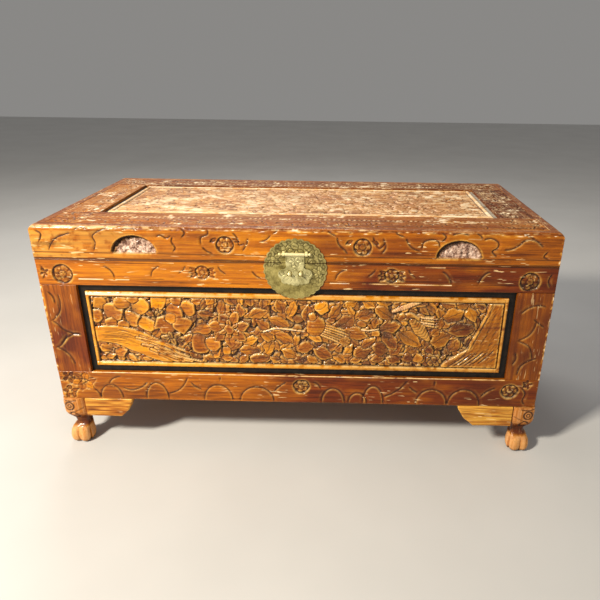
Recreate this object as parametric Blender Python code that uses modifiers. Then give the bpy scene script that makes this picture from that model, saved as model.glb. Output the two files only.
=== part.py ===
"""Carved wooden blanket chest on paw feet, with a brass hasp lock and a sliding lid stay.

The chest stands on z = 0 and faces -Y. Lengths are in metres.
"""
import math

import bmesh
import bpy
from mathutils import Matrix, Vector

# ---- driving dimensions ------------------------------------------------------------------
WIDTH = 0.920             # carcass and lid, along X
DEPTH = 0.440             # front face to back face
FOOT_HEIGHT = 0.106       # floor to the underside of the carcass
BODY_HEIGHT = 0.288       # carcass
LID_HEIGHT = 0.060
BOARD = 0.020             # thickness of frame members
BACK_BOARD = 0.018
GAP = 0.0003              # between pieces that touch
STEP_IN = 0.0004          # a plate is this much narrower at each end than the knuckle it joins
EASE = 0.0008             # softened edge of a board

STILE = 0.065             # width of the corner stiles
BOTTOM_RAIL = 0.060
TOP_RAIL = 0.0495
CHANNEL = 0.0125          # width of the black channel round a carved panel
CHANNEL_DEPTH = 0.007
PANEL_SET = 0.0015        # a panel's highest carving lies this far below the frame's face
FLOOR_BOARD = (0.012, 0.024)   # underside and top of the bottom board, above the carcass's

TOP_BOARD = 0.018         # thickness of the boards in the lid's top
TOP_SIDE = 0.085          # outer edge of the lid to the top's opening, at the ends
TOP_FRONT = 0.100         # the same at the front
TOP_BACK = 0.085          # and at the back
TOP_CHANNEL = 0.009
TOP_CHANNEL_DEPTH = 0.005
LID_ROUND = 0.008         # radius of the lid's upper edge

HALF_MOON = (0.080, 0.032, 0.009)   # width, height and depth of the scooped half moons
HALF_MOON_X = 0.284
HALF_MOON_BASE = 0.012    # above the lid's lower edge

PLATE_RADIUS = 0.0565
PLATE_LOBES = 30
PLATE_THICK = 0.0015
PLATE_CENTRE = 0.0115     # below the seam
SEAM = 0.0005             # half the seam between lid and body, at the lock plates
HASP_AXIS = 0.017         # above the seam
HASP_THICK = 0.0018
HASP_KNUCKLE = 0.003
HASP_PIN = 0.0015
HASP_BALL = 0.0036        # radius of the pin's ball ends
HASP_NECK = 0.017         # half the hasp's width at its neck
STAPLE = (0.010, 0.018)   # distance from the middle, and below the seam
STAPLE_REACH = 0.0123     # from the wood to the staple's tip

HINGE_X = 0.280
HINGE_HALF = 0.030
HINGE_LEAF = 0.034
HINGE_THICK = 0.0015
KNUCKLE = 0.0035
HINGE_PIN = 0.0018

STAY_RADIUS = 0.150       # both stay pivots lie this far from the lid's hinge axis
STAY_RISE = math.radians(12.0)   # the lid's pivot above the seam, seen from the hinge axis
STAY_DROP = math.radians(12.0)   # the body's stud below it
LID_OPEN = math.radians(95.0)
STAY_THICK = 0.002
STAY_HALF = 0.008
STAY_STUD = 0.002         # radius of the studs

# ---- places that follow from them -------------------------------------------------------
HINGE_PROUD = GAP + 2 * KNUCKLE + GAP
FRONT = -DEPTH / 2 + (STAPLE_REACH - HINGE_PROUD) / 2
BACK = FRONT + DEPTH
SIDE = WIDTH / 2
UNDERSIDE = FOOT_HEIGHT
SEAM_Z = UNDERSIDE + BODY_HEIGHT
TOP = SEAM_Z + LID_HEIGHT
HINGE_Y = BACK + GAP + KNUCKLE + GAP
LID_AXIS = (0.0, HINGE_Y, SEAM_Z)
PLATE_FACE = FRONT - GAP - PLATE_THICK
HASP_Y = PLATE_FACE - GAP - HASP_BALL
HASP_PIVOT = (0.0, HASP_Y, SEAM_Z + HASP_AXIS)
STAY_X = SIDE - BOARD - 0.0018
STAY_PIVOT = (STAY_X, HINGE_Y - STAY_RADIUS * math.cos(STAY_RISE),
              SEAM_Z + STAY_RADIUS * math.sin(STAY_RISE))
STAY_GUIDE = (STAY_X, HINGE_Y - STAY_RADIUS * math.cos(STAY_DROP),
              SEAM_Z - STAY_RADIUS * math.sin(STAY_DROP))
INNER_FRONT = FRONT + BOARD + GAP
INNER_BACK = BACK - BACK_BOARD - GAP

# ---- scene, collections, materials --------------------------------------------------------
for leftover in list(bpy.data.objects):
    bpy.data.objects.remove(leftover, do_unlink=True)

CHEST = bpy.data.collections.new("wooden_chest")
CUTTERS = bpy.data.collections.new("cutters")
for group in (CHEST, CUTTERS):
    bpy.context.scene.collection.children.link(group)


def material(name, colour, roughness, metallic=0.0):
    """A Principled material; its viewport colour is the same."""
    made = bpy.data.materials.new(name)
    made.use_nodes = True
    shader = made.node_tree.nodes["Principled BSDF"]
    shader.inputs["Base Color"].default_value = (*colour, 1.0)
    shader.inputs["Roughness"].default_value = roughness
    shader.inputs["Metallic"].default_value = metallic
    made.diffuse_color = (*colour, 1.0)
    return made


FRAME_WOOD = material("frame_wood", (0.42, 0.15, 0.035), 0.38)
PANEL_WOOD = material("panel_wood", (0.55, 0.22, 0.04), 0.40)
TOP_WOOD = material("top_wood", (0.42, 0.24, 0.13), 0.50)
EBONISED = material("ebonised", (0.02, 0.017, 0.013), 0.35)
PLAIN_WOOD = material("plain_wood", (0.40, 0.22, 0.10), 0.65)
FOOT_WOOD = material("foot_wood", (0.58, 0.27, 0.08), 0.40)
LOCK_BRASS = material("lock_brass", (0.46, 0.40, 0.20), 0.38, 1.0)
HINGE_BRASS = material("hinge_brass", (0.44, 0.35, 0.16), 0.42, 1.0)


# ---- helpers ------------------------------------------------------------------------------
def axis_empty(name, place, parent=None):
    """An empty on a joint's axis, which the moving pieces hang from."""
    empty = bpy.data.objects.new(name, None)
    empty.location = place
    CHEST.objects.link(empty)
    if parent:
        hang(empty, parent)
    return empty


def hang(child, parent):
    """Parent child to an empty and leave it where it is."""
    child.parent = parent
    child.matrix_parent_inverse = Matrix.Translation(-resting_place(parent))


def resting_place(empty):
    """World place of an empty that is itself hung with hang()."""
    return Vector(empty.location)


def add_object(name, data, finish, place=(0, 0, 0), turn=(0, 0, 0), parent=None):
    """A named piece in the chest's collection."""
    obj = bpy.data.objects.new(name, data)
    obj.location = place
    obj.rotation_euler = turn
    data.materials.append(finish)
    CHEST.objects.link(obj)
    if parent:
        hang(obj, parent)
    return obj


def make_cutter(obj):
    """Turn a piece into a tool for a Boolean, out of the model."""
    CHEST.objects.unlink(obj)
    CUTTERS.objects.link(obj)
    obj.hide_render = True
    obj.display_type = "WIRE"
    return obj


def combine(obj, operation, tool):
    """Boolean modifier with the exact solver."""
    modifier = obj.modifiers.new(f"{operation.lower()}_{tool.name}", "BOOLEAN")
    modifier.operation = operation
    modifier.object = make_cutter(tool)
    modifier.solver = "EXACT"


def shade_round(mesh, angle=35.0):
    """Smooth shading that keeps edges sharper than the angle."""
    mesh.shade_smooth()
    mesh.set_sharp_from_angle(angle=math.radians(angle))


def box(name, low, high, finish, ease=EASE, parent=None):
    """A board between two opposite corners, with eased edges."""
    low, high = Vector(low), Vector(high)
    mesh = bpy.data.meshes.new(name)
    bm = bmesh.new()
    bmesh.ops.create_cube(bm, size=1.0)
    bmesh.ops.scale(bm, vec=high - low, verts=bm.verts)
    bm.to_mesh(mesh)
    bm.free()
    obj = add_object(name, mesh, finish, (low + high) / 2, parent=parent)
    if ease:
        bevel = obj.modifiers.new("eased_edges", "BEVEL")
        bevel.width = ease
        bevel.segments = 1
    return obj


# A flat outline's local X and Y lie along these world directions, its thickness along the third.
PLANES = {
    "front": (math.pi / 2, 0, 0),            # X and Z, thick along Y
    "end": (math.pi / 2, 0, math.pi / 2),    # Y and Z, thick along X
    "flat": (0, 0, 0),                       # X and Y, thick along Z
}


def plate(name, outlines, thickness, place, plane, finish, parent=None):
    """A flat solid from one outline and any holes in it, made a mesh."""
    curve = bpy.data.curves.new(name, "CURVE")
    curve.dimensions = "2D"
    curve.fill_mode = "BOTH"
    curve.extrude = thickness / 2
    for outline in outlines:
        spline = curve.splines.new("POLY")
        spline.points.add(len(outline) - 1)
        for point, (u, v) in zip(spline.points, outline):
            point.co = (u, v, 0, 1)
        spline.use_cyclic_u = True
    drawn = bpy.data.objects.new(name, curve)
    CHEST.objects.link(drawn)
    graph = bpy.context.evaluated_depsgraph_get()
    mesh = bpy.data.meshes.new_from_object(drawn.evaluated_get(graph))
    bpy.data.objects.remove(drawn, do_unlink=True)
    bm = bmesh.new()
    bm.from_mesh(mesh)
    bmesh.ops.remove_doubles(bm, verts=bm.verts, dist=0.00001)
    bm.to_mesh(mesh)
    bm.free()
    mesh.name = name
    return add_object(name, mesh, finish, place, PLANES[plane], parent)


ALONG = {"x": (0, math.pi / 2, 0), "y": (math.pi / 2, 0, 0), "z": (0, 0, 0)}


def turned(name, profile, place, along, finish, closed=False, steps=16, parent=None):
    """A turned piece. The profile lists (radius, height) down its outer side, top to bottom."""
    mesh = bpy.data.meshes.new(name)
    links = [(i, i + 1) for i in range(len(profile) - 1)]
    if closed:
        links.append((len(profile) - 1, 0))
    mesh.from_pydata([(r, 0, h) for r, h in profile], links, [])
    obj = add_object(name, mesh, finish, place, ALONG[along], parent)
    screw = obj.modifiers.new("turning", "SCREW")
    screw.steps = screw.render_steps = steps
    screw.use_merge_vertices = True
    screw.merge_threshold = 0.00001
    screw.use_smooth_shade = True
    return obj


def tube(name, outer, inner, length, place, along, finish, parent=None):
    """A short pipe, such as a knuckle."""
    half = length / 2
    profile = [(outer, half), (outer, -half), (inner, -half), (inner, half)]
    return turned(name, profile, place, along, finish, closed=True, parent=parent)


def rectangle(low_u, high_u, low_v, high_v):
    """Corners of a rectangle, counter-clockwise."""
    return [(low_u, low_v), (high_u, low_v), (high_u, high_v), (low_u, high_v)]


def arc(centre, radius, start, end, steps):
    """Points on an arc from one angle to another, in degrees."""
    turns = [math.radians(start + (end - start) * i / steps) for i in range(steps + 1)]
    return [(centre[0] + radius * math.cos(a), centre[1] + radius * math.sin(a)) for a in turns]


# ---- carcass --------------------------------------------------------------------------------
def framed_wall(side, low, high, outside, direction, plane):
    """Frame, black moulding and carved panel of one wall.

    low and high bound the wall along its own length; outside is the outer face's place on the
    other axis and direction points out of the chest along it.
    """
    def corner(u, depth, z):
        across = outside - direction * depth
        return (u, across, z) if plane == "front" else (across, u, z)

    def wall_board(name, u0, u1, z0, z1, depth0, depth1, finish):
        first, second = corner(u0, depth0, z0), corner(u1, depth1, z1)
        lows = [min(a, b) for a, b in zip(first, second)]
        highs = [max(a, b) for a, b in zip(first, second)]
        return box(name, lows, highs, finish)

    rail_top = UNDERSIDE + BOTTOM_RAIL
    rail_low = SEAM_Z - TOP_RAIL
    trim = 0.0 if plane == "front" else BOARD
    stile = STILE - trim
    wall_board(f"{side}_bottom_rail", low, high, UNDERSIDE, rail_top, 0, BOARD, FRAME_WOOD)
    wall_board(f"{side}_top_rail", low, high, rail_low, SEAM_Z - GAP, 0, BOARD, FRAME_WOOD)
    names = ("left", "right") if plane == "front" else ("front", "rear")
    for name, u0, u1 in ((names[0], low, low + stile), (names[1], high - stile, high)):
        wall_board(f"{side}_{name}_stile", u0, u1, rail_top + GAP, rail_low - GAP, 0, BOARD,
                   FRAME_WOOD)

    u0, u1 = low + stile + GAP, high - stile - GAP
    z0, z1 = rail_top + GAP, rail_low - GAP
    middle = corner((u0 + u1) / 2, (CHANNEL_DEPTH + BOARD) / 2, (z0 + z1) / 2)
    half_u, half_z = (u1 - u0) / 2, (z1 - z0) / 2
    inner_u, inner_z = half_u - CHANNEL, half_z - CHANNEL
    rings = [rectangle(-half_u, half_u, -half_z, half_z),
             rectangle(-inner_u, inner_u, -inner_z, inner_z)]
    plate(f"{side}_moulding", rings, BOARD - CHANNEL_DEPTH, middle, plane, EBONISED)
    wall_board(f"{side}_panel", u0 + CHANNEL + GAP, u1 - CHANNEL - GAP,
               z0 + CHANNEL + GAP, z1 - CHANNEL - GAP, PANEL_SET, BOARD, PANEL_WOOD)


framed_wall("front", -SIDE, SIDE, FRONT, -1, "front")
framed_wall("left", INNER_FRONT, INNER_BACK, -SIDE, -1, "end")
framed_wall("right", INNER_FRONT, INNER_BACK, SIDE, 1, "end")

back_joint = UNDERSIDE + BODY_HEIGHT / 2
box("back_lower_board", (-SIDE, BACK - BACK_BOARD, UNDERSIDE),
    (SIDE, BACK, back_joint - GAP / 2), PLAIN_WOOD)
box("back_upper_board", (-SIDE, BACK - BACK_BOARD, back_joint + GAP / 2),
    (SIDE, BACK, SEAM_Z - GAP), PLAIN_WOOD)
box("bottom_board", (-SIDE + BOARD + GAP, INNER_FRONT, UNDERSIDE + FLOOR_BOARD[0]),
    (SIDE - BOARD - GAP, INNER_BACK, UNDERSIDE + FLOOR_BOARD[1]), PLAIN_WOOD)


# ---- lid --------------------------------------------------------------------------------------
LID_EMPTY = axis_empty("lid_axis", LID_AXIS)
LID_LOW = SEAM_Z + GAP


def rounded_rail(name, low, high, outward):
    """A rail of the lid, its upper edge rounded wherever the lid faces outward."""
    low, high = Vector(low), Vector(high)
    mesh = bpy.data.meshes.new(name)
    bm = bmesh.new()
    bmesh.ops.create_cube(bm, size=1.0)
    bmesh.ops.scale(bm, vec=high - low, verts=bm.verts)
    half = (high - low) / 2
    edges = []
    for edge in bm.edges:
        middle = (edge.verts[0].co + edge.verts[1].co) / 2
        faces_out = any(abs(middle[axis] - sign * half[axis]) < EASE for axis, sign in outward)
        if abs(middle.z - half.z) < EASE and faces_out:
            edges.append(edge)
    bmesh.ops.bevel(bm, geom=edges, offset=LID_ROUND, segments=4, profile=0.5, affect="EDGES")
    bm.to_mesh(mesh)
    bm.free()
    shade_round(mesh, 50)
    return add_object(name, mesh, FRAME_WOOD, (low + high) / 2, parent=LID_EMPTY)


front_rail = rounded_rail("lid_front_rail", (-SIDE, FRONT, LID_LOW),
                          (SIDE, FRONT + BOARD, TOP), [(0, -1), (0, 1), (1, -1)])
rounded_rail("lid_back_rail", (-SIDE, BACK - BOARD, LID_LOW), (SIDE, BACK, TOP),
             [(0, -1), (0, 1), (1, 1)])
for end, sign in (("left", -1), ("right", 1)):
    xs = sorted((sign * SIDE, sign * (SIDE - BOARD)))
    rounded_rail(f"lid_{end}_rail", (xs[0], FRONT + BOARD + GAP, LID_LOW),
                 (xs[1], BACK - BOARD - GAP, TOP), [(0, sign)])

moon_width, moon_height, moon_depth = HALF_MOON
for sign in (-1, 1):
    dome = [(moon_width / 2 * math.cos(a), moon_height * math.sin(a))
            for a in (math.pi * i / 20 for i in range(21))]
    moon = plate(f"half_moon_{'left' if sign < 0 else 'right'}", [dome], 2 * moon_depth,
                 (sign * HALF_MOON_X, FRONT, SEAM_Z + HALF_MOON_BASE), "front", FRAME_WOOD)
    hang(moon, LID_EMPTY)
    combine(front_rail, "DIFFERENCE", moon)

TOP_LOW = TOP - TOP_BOARD
inner_side = SIDE - BOARD - GAP
opening = (SIDE - TOP_SIDE, FRONT + TOP_FRONT, BACK - TOP_BACK)
box("top_front_board", (-inner_side, FRONT + BOARD + GAP, TOP_LOW),
    (inner_side, opening[1], TOP), TOP_WOOD, parent=LID_EMPTY)
box("top_back_board", (-inner_side, opening[2], TOP_LOW),
    (inner_side, BACK - BOARD - GAP, TOP), TOP_WOOD, parent=LID_EMPTY)
for end, sign in (("left", -1), ("right", 1)):
    xs = sorted((sign * inner_side, sign * opening[0]))
    box(f"top_{end}_board", (xs[0], opening[1] + GAP, TOP_LOW), (xs[1], opening[2] - GAP, TOP),
        TOP_WOOD, parent=LID_EMPTY)

half_x = opening[0] - GAP
half_y = (opening[2] - opening[1]) / 2 - GAP
middle_y = (opening[1] + opening[2]) / 2
ring_thick = TOP_BOARD - TOP_CHANNEL_DEPTH
plate("top_moulding",
      [rectangle(-half_x, half_x, -half_y, half_y),
       rectangle(-half_x + TOP_CHANNEL, half_x - TOP_CHANNEL,
                 -half_y + TOP_CHANNEL, half_y - TOP_CHANNEL)],
      ring_thick, (0, middle_y, TOP_LOW + ring_thick / 2), "flat", EBONISED, LID_EMPTY)
inset = TOP_CHANNEL + GAP
box("top_panel", (-half_x + inset, middle_y - half_y + inset, TOP_LOW),
    (half_x - inset, middle_y + half_y - inset, TOP - PANEL_SET / 2), TOP_WOOD, parent=LID_EMPTY)


# ---- lock -------------------------------------------------------------------------------------
def lock_plate(name, above, parent=None):
    """The part of the lobed round plate above or below the seam."""
    centre_z = -PLATE_CENTRE
    cut = SEAM if above else -SEAM
    reach = math.asin((cut - centre_z) / PLATE_RADIUS)
    start, end = (reach, math.pi - reach) if above else (math.pi - reach, 2 * math.pi + reach)
    steps = 60 if above else 84
    outline = []
    for i in range(steps + 1):
        angle = start + (end - start) * i / steps
        lobe = abs(math.sin(PLATE_LOBES * angle / 2))
        radius = PLATE_RADIUS - 0.0022 * (1 - lobe)
        v = centre_z + radius * math.sin(angle)
        outline.append((radius * math.cos(angle), max(v, cut) if above else min(v, cut)))
    return plate(name, [outline], PLATE_THICK, (0, PLATE_FACE + PLATE_THICK / 2, SEAM_Z),
                 "front", LOCK_BRASS, parent)


lock_plate("lock_upper_plate", True, LID_EMPTY)
lock_plate("lock_lower_plate", False)

HASP_EMPTY = axis_empty("hasp_axis", HASP_PIVOT)

# Right half of the hasp, from its neck to the middle of its foot, below the pin's axis. The two
# slots run out between its lower lobes, so that it lifts off the staples with the lid.
SLOT_HALF = 0.0043
SLOT_TOP = -0.0302
HASP_FOOT = -0.059
lobe_centre, lobe_radius = (0.0205, -0.0375), 0.0098
foot_centre, foot_radius = (0.0190, -0.0490), 0.0062
neck = HASP_NECK - STEP_IN
half_hasp = [(neck, -0.0012), (neck, -0.0195), (neck - 0.0016, -0.0235)]
half_hasp += arc(lobe_centre, lobe_radius, 100, -55, 10)
half_hasp += arc(foot_centre, foot_radius, 20, -80, 6)
half_hasp += [(STAPLE[0] + SLOT_HALF, -0.0545)]
half_hasp += arc((STAPLE[0], SLOT_TOP - SLOT_HALF), SLOT_HALF, 0, 180, 8)
half_hasp += [(STAPLE[0] - SLOT_HALF, HASP_FOOT + 0.0025), (0.0030, HASP_FOOT)]
whole_hasp = half_hasp + [(-u, v) for u, v in reversed(half_hasp)]
hasp_back = PLATE_FACE - 0.0006
hasp = plate("hasp", [whole_hasp], HASP_THICK,
             (0, hasp_back - HASP_THICK / 2, HASP_PIVOT[2]), "front", LOCK_BRASS)
hang(hasp, HASP_EMPTY)
knuckle = tube("hasp_knuckle", HASP_KNUCKLE, HASP_PIN + 0.00015, 2 * HASP_NECK, HASP_PIVOT,
               "x", LOCK_BRASS)
hang(knuckle, HASP_EMPTY)
combine(hasp, "UNION", knuckle)

LUG = 0.005
lug_x = HASP_NECK + GAP + LUG / 2
for end, sign in (("left", -1), ("right", 1)):
    eye = tube(f"hasp_lug_{end}", HASP_KNUCKLE, HASP_PIN + 0.00015, LUG,
               (sign * lug_x, HASP_Y, HASP_PIVOT[2]), "x", LOCK_BRASS, parent=LID_EMPTY)
    root_half = LUG / 2 - STEP_IN
    root = box(f"lug_root_{end}", (sign * lug_x - root_half, HASP_Y + HASP_PIN + 0.0004,
                                   HASP_PIVOT[2] - 0.0045),
               (sign * lug_x + root_half, PLATE_FACE - GAP, HASP_PIVOT[2] + 0.0045), LOCK_BRASS,
               ease=0, parent=LID_EMPTY)
    combine(eye, "UNION", root)

pin_half = lug_x + LUG / 2 + GAP
ball_profile = [(HASP_BALL * math.sin(a), pin_half + HASP_BALL * (0.8 + math.cos(a)))
                for a in (math.pi * i / 10 for i in range(8))]
pin_top = ball_profile + [(HASP_PIN, pin_half)]
pin_profile = pin_top + [(r, -h) for r, h in reversed(pin_top)]
turned("hasp_pin", pin_profile, HASP_PIVOT, "x", LOCK_BRASS, parent=LID_EMPTY)

STAPLE_HEAD = 0.0034
staple_root = STAPLE_REACH - (FRONT - PLATE_FACE) - GAP
for end, sign in (("left", -1), ("right", 1)):
    head = [(STAPLE_HEAD * math.sin(a), staple_root - STAPLE_HEAD * (1 - math.cos(a)))
            for a in (math.pi * i / 12 for i in range(10))]
    profile = head + [(0.0022, 0.0018), (0.0034, 0.0), (0.0, 0.0)]
    turned(f"staple_{end}", profile, (sign * STAPLE[0], PLATE_FACE - GAP, SEAM_Z - STAPLE[1]),
           "y", LOCK_BRASS)


# ---- feet -------------------------------------------------------------------------------------
# Depth below the carcass, how far the leg stands proud of the carcass's faces, and how far in
# from them it reaches.
LEG_SECTIONS = [
    (GAP, 0.0035, 0.0400),
    (0.016, 0.0045, 0.0410),
    (0.032, 0.0035, 0.0412),
    (0.042, -0.0015, 0.0400),
    (0.052, -0.0085, 0.0370),
    (0.061, -0.0105, 0.0350),
    (0.068, -0.0070, 0.0355),
    (0.080, 0.0000, 0.0370),
    (0.092, 0.0038, 0.0388),
    (0.101, 0.0042, 0.0392),
    (FOOT_HEIGHT, 0.0010, 0.0370),
]
LEG_SIDES = 16
SQUARENESS = 4.0          # exponent of the legs' rounded-square section


def rounded_square(half, sides, power):
    """Points of a superellipse, counter-clockwise."""
    points = []
    for i in range(sides):
        angle = 2 * math.pi * (i + 0.5) / sides
        c, s = math.cos(angle), math.sin(angle)
        radius = half / (abs(c) ** power + abs(s) ** power) ** (1 / power)
        points.append((radius * c, radius * s))
    return points


def leg(name, x_sign, y_face, y_sign):
    """An S-shaped corner leg that swells into a paw, lofted through square sections."""
    mesh = bpy.data.meshes.new(name)
    bm = bmesh.new()
    rings = []
    for depth, proud, reach in LEG_SECTIONS:
        half = (reach + proud) / 2
        inward = (reach - proud) / 2
        centre = (x_sign * (SIDE - inward), y_face - y_sign * inward)
        ring = rounded_square(half, LEG_SIDES, SQUARENESS)
        rings.append([bm.verts.new((centre[0] + u, centre[1] + v, UNDERSIDE - depth))
                      for u, v in ring])
    bm.faces.new(rings[0])
    bm.faces.new(list(reversed(rings[-1])))
    for upper, lower in zip(rings, rings[1:]):
        for i in range(LEG_SIDES):
            j = (i + 1) % LEG_SIDES
            bm.faces.new((upper[i], lower[i], lower[j], upper[j]))
    bm.to_mesh(mesh)
    bm.free()
    shade_round(mesh, 50)
    return add_object(name, mesh, FOOT_WOOD)


for x_name, x_sign in (("left", -1), ("right", 1)):
    leg(f"front_{x_name}_leg", x_sign, FRONT, -1)
    leg(f"rear_{x_name}_leg", x_sign, BACK, 1)

BRACKET_START = 0.0418    # from the carcass's outer face to the end that meets the leg
BRACKET_THICK = 0.020
BRACKET_PROUD = 0.002


def bracket_outline(tip, toe, height):
    """A wing from the leg to its pointed tip, measured in from the carcass's outer face."""
    mid = (0.55 * tip + 0.45 * toe + 0.002, -0.62 * height)
    return [(BRACKET_START, -GAP), (BRACKET_START, -height + 0.001), (toe, -height), mid,
            (tip, -0.16 * height), (tip, -GAP)]


def bracket(name, corner, sign, plane, across, tip, toe, height):
    """A bracket under the carcass, running inward from one corner along a wall."""
    outline = [(corner - sign * u, v) for u, v in bracket_outline(tip, toe, height)]
    if sign > 0:
        outline.reverse()
    place = (0, across, UNDERSIDE) if plane == "front" else (across, 0, UNDERSIDE)
    return plate(name, [outline], BRACKET_THICK, place, plane, FOOT_WOOD)


front_across = FRONT - BRACKET_PROUD + BRACKET_THICK / 2
bracket("front_left_bracket", -SIDE, -1, "front", front_across, 0.135, 0.110, 0.041)
bracket("front_right_bracket", SIDE, 1, "front", front_across, 0.148, 0.115, 0.045)
for x_name, x_sign in (("left", -1), ("right", 1)):
    end_across = x_sign * (SIDE + BRACKET_PROUD - BRACKET_THICK / 2)
    bracket(f"{x_name}_front_bracket", FRONT, -1, "end", end_across, 0.130, 0.104, 0.042)
    bracket(f"{x_name}_rear_bracket", BACK, 1, "end", end_across, 0.130, 0.104, 0.042)


# ---- hinges ------------------------------------------------------------------------------------
KNUCKLE_CLEAR = 0.0042    # a leaf stays this far from the axis beside the other leaf's knuckle
MIDDLE_KNUCKLE = 0.0100   # half its length


def leaf_outline(direction, middle_tab):
    """A hinge leaf with a tab to each of its knuckles, above (+1) or below (-1) the axis."""
    near, far, root = KNUCKLE_CLEAR, HINGE_LEAF, 0.0010
    edge = HINGE_HALF - STEP_IN
    if middle_tab:
        tab = MIDDLE_KNUCKLE - GAP - STEP_IN
        points = [(-edge, near + STEP_IN), (-tab, near), (-tab, root), (tab, root),
                  (tab, near), (edge, near + STEP_IN), (edge, far), (-edge, far)]
    else:
        tab = MIDDLE_KNUCKLE + GAP + STEP_IN
        points = [(-edge, root), (-tab, root), (-tab, near), (tab, near), (tab, root),
                  (edge, root), (edge, far), (-edge, far)]
    if direction > 0:
        return points
    return [(u, -v) for u, v in reversed(points)]


for end, sign in (("left", -1), ("right", 1)):
    x = sign * HINGE_X
    leaf_y = BACK + GAP + HINGE_THICK / 2
    lower = plate(f"{end}_hinge_body_leaf", [leaf_outline(-1, False)], HINGE_THICK,
                  (x, leaf_y, SEAM_Z), "front", HINGE_BRASS)
    upper = plate(f"{end}_hinge_lid_leaf", [leaf_outline(1, True)], HINGE_THICK,
                  (x, leaf_y, SEAM_Z), "front", HINGE_BRASS, LID_EMPTY)
    bore = HINGE_PIN + 0.00015
    combine(upper, "UNION",
            tube(f"{end}_middle_knuckle", KNUCKLE, bore, 2 * (MIDDLE_KNUCKLE - GAP),
                 (x, HINGE_Y, SEAM_Z), "x", HINGE_BRASS, parent=LID_EMPTY))
    outer_length = HINGE_HALF - MIDDLE_KNUCKLE - GAP
    for side in (-1, 1):
        outer_x = x + side * (MIDDLE_KNUCKLE + GAP + outer_length / 2)
        combine(lower, "UNION",
                tube(f"{end}_outer_knuckle_{'a' if side < 0 else 'b'}", KNUCKLE, bore,
                     outer_length, (outer_x, HINGE_Y, SEAM_Z), "x", HINGE_BRASS))
    head = 0.0029
    pin_profile = [(0, HINGE_HALF + 0.0018), (head - 0.0006, HINGE_HALF + 0.0018),
                   (head, HINGE_HALF + 0.0010), (head, HINGE_HALF + GAP),
                   (HINGE_PIN, HINGE_HALF + GAP), (HINGE_PIN, -HINGE_HALF - 0.0010),
                   (0, -HINGE_HALF - 0.0010)]
    turned(f"{end}_hinge_pin", pin_profile, (x, HINGE_Y, SEAM_Z), "x", HINGE_BRASS)


# ---- lid stay ------------------------------------------------------------------------------------
# The pivot on the lid and the stud on the body are equally far from the hinge axis, so the arm
# turns through exactly half the lid's angle.
STAY_EMPTY = axis_empty("stay_axis", STAY_PIVOT)
shortest = 2 * STAY_RADIUS * math.sin((STAY_RISE + STAY_DROP) / 2)
longest = 2 * STAY_RADIUS * math.sin((STAY_RISE + STAY_DROP + LID_OPEN) / 2)
run = (Vector(STAY_GUIDE) - Vector(STAY_PIVOT)).yz.normalized()
SLOT_PLAY = 0.0010


def along_stay(points):
    """Points given along and across the arm, turned into its plane (Y, Z)."""
    return [(run.x * a - run.y * b, run.y * a + run.x * b) for a, b in points]


arm = arc((0, 0), STAY_HALF, 90, 270, 8) + arc((longest + 0.004, 0), STAY_HALF, -90, 90, 8)
slot_half = STAY_STUD + SLOT_PLAY
slot = arc((shortest - SLOT_PLAY, 0), slot_half, 90, 270, 8)
slot += arc((longest + SLOT_PLAY, 0), slot_half, -90, 90, 8)
eye = arc((0, 0), STAY_STUD + 0.00015, 0, 345, 23)
stay_arm = plate("stay_arm", [along_stay(arm), along_stay(slot), along_stay(eye)], STAY_THICK,
                 (STAY_X - STAY_THICK / 2, STAY_PIVOT[1], STAY_PIVOT[2]), "end", HINGE_BRASS)
hang(stay_arm, STAY_EMPTY)


def stud(name, place, parent=None):
    """A flanged stud from the wood through the arm, to a flat head inside the chest."""
    flange_top = 0.0005
    base = SIDE - BOARD - GAP - STAY_X
    head_low = -STAY_THICK - 0.0005
    profile = [(0, base), (0.0075, base), (0.0075, flange_top), (STAY_STUD, flange_top),
               (STAY_STUD, head_low), (0.0052, head_low), (0.0046, head_low - 0.0014),
               (0, head_low - 0.0014)]
    return turned(name, profile, place, "x", HINGE_BRASS, parent=parent)


stud("stay_pivot_stud", STAY_PIVOT, LID_EMPTY)
stud("stay_guide_stud", STAY_GUIDE)
hang(HASP_EMPTY, LID_EMPTY)
hang(STAY_EMPTY, LID_EMPTY)
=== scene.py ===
"""Looks of the carved wooden chest: relief-carved boards, paw feet, engraved brass, floor and light.

Carving is worked out on grids in millimetres and laid on the frame's boards; everything else is
in metres.
"""

import math

import bmesh
import bpy
import numpy as np
from mathutils import Matrix, Vector


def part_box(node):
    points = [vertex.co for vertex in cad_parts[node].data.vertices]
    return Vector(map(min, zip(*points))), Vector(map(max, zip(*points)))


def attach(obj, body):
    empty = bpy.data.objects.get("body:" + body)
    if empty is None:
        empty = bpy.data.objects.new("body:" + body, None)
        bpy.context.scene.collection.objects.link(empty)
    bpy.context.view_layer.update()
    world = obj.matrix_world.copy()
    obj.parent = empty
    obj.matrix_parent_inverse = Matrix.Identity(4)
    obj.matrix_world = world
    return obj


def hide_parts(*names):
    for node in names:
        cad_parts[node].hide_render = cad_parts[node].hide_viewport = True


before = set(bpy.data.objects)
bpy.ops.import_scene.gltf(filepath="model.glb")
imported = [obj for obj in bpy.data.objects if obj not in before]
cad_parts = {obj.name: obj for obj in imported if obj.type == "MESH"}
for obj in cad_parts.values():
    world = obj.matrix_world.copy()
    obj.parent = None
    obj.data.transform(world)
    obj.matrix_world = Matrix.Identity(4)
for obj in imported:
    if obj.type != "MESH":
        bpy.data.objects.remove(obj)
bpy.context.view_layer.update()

MM = 0.001
QUICK = 1.0

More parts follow.
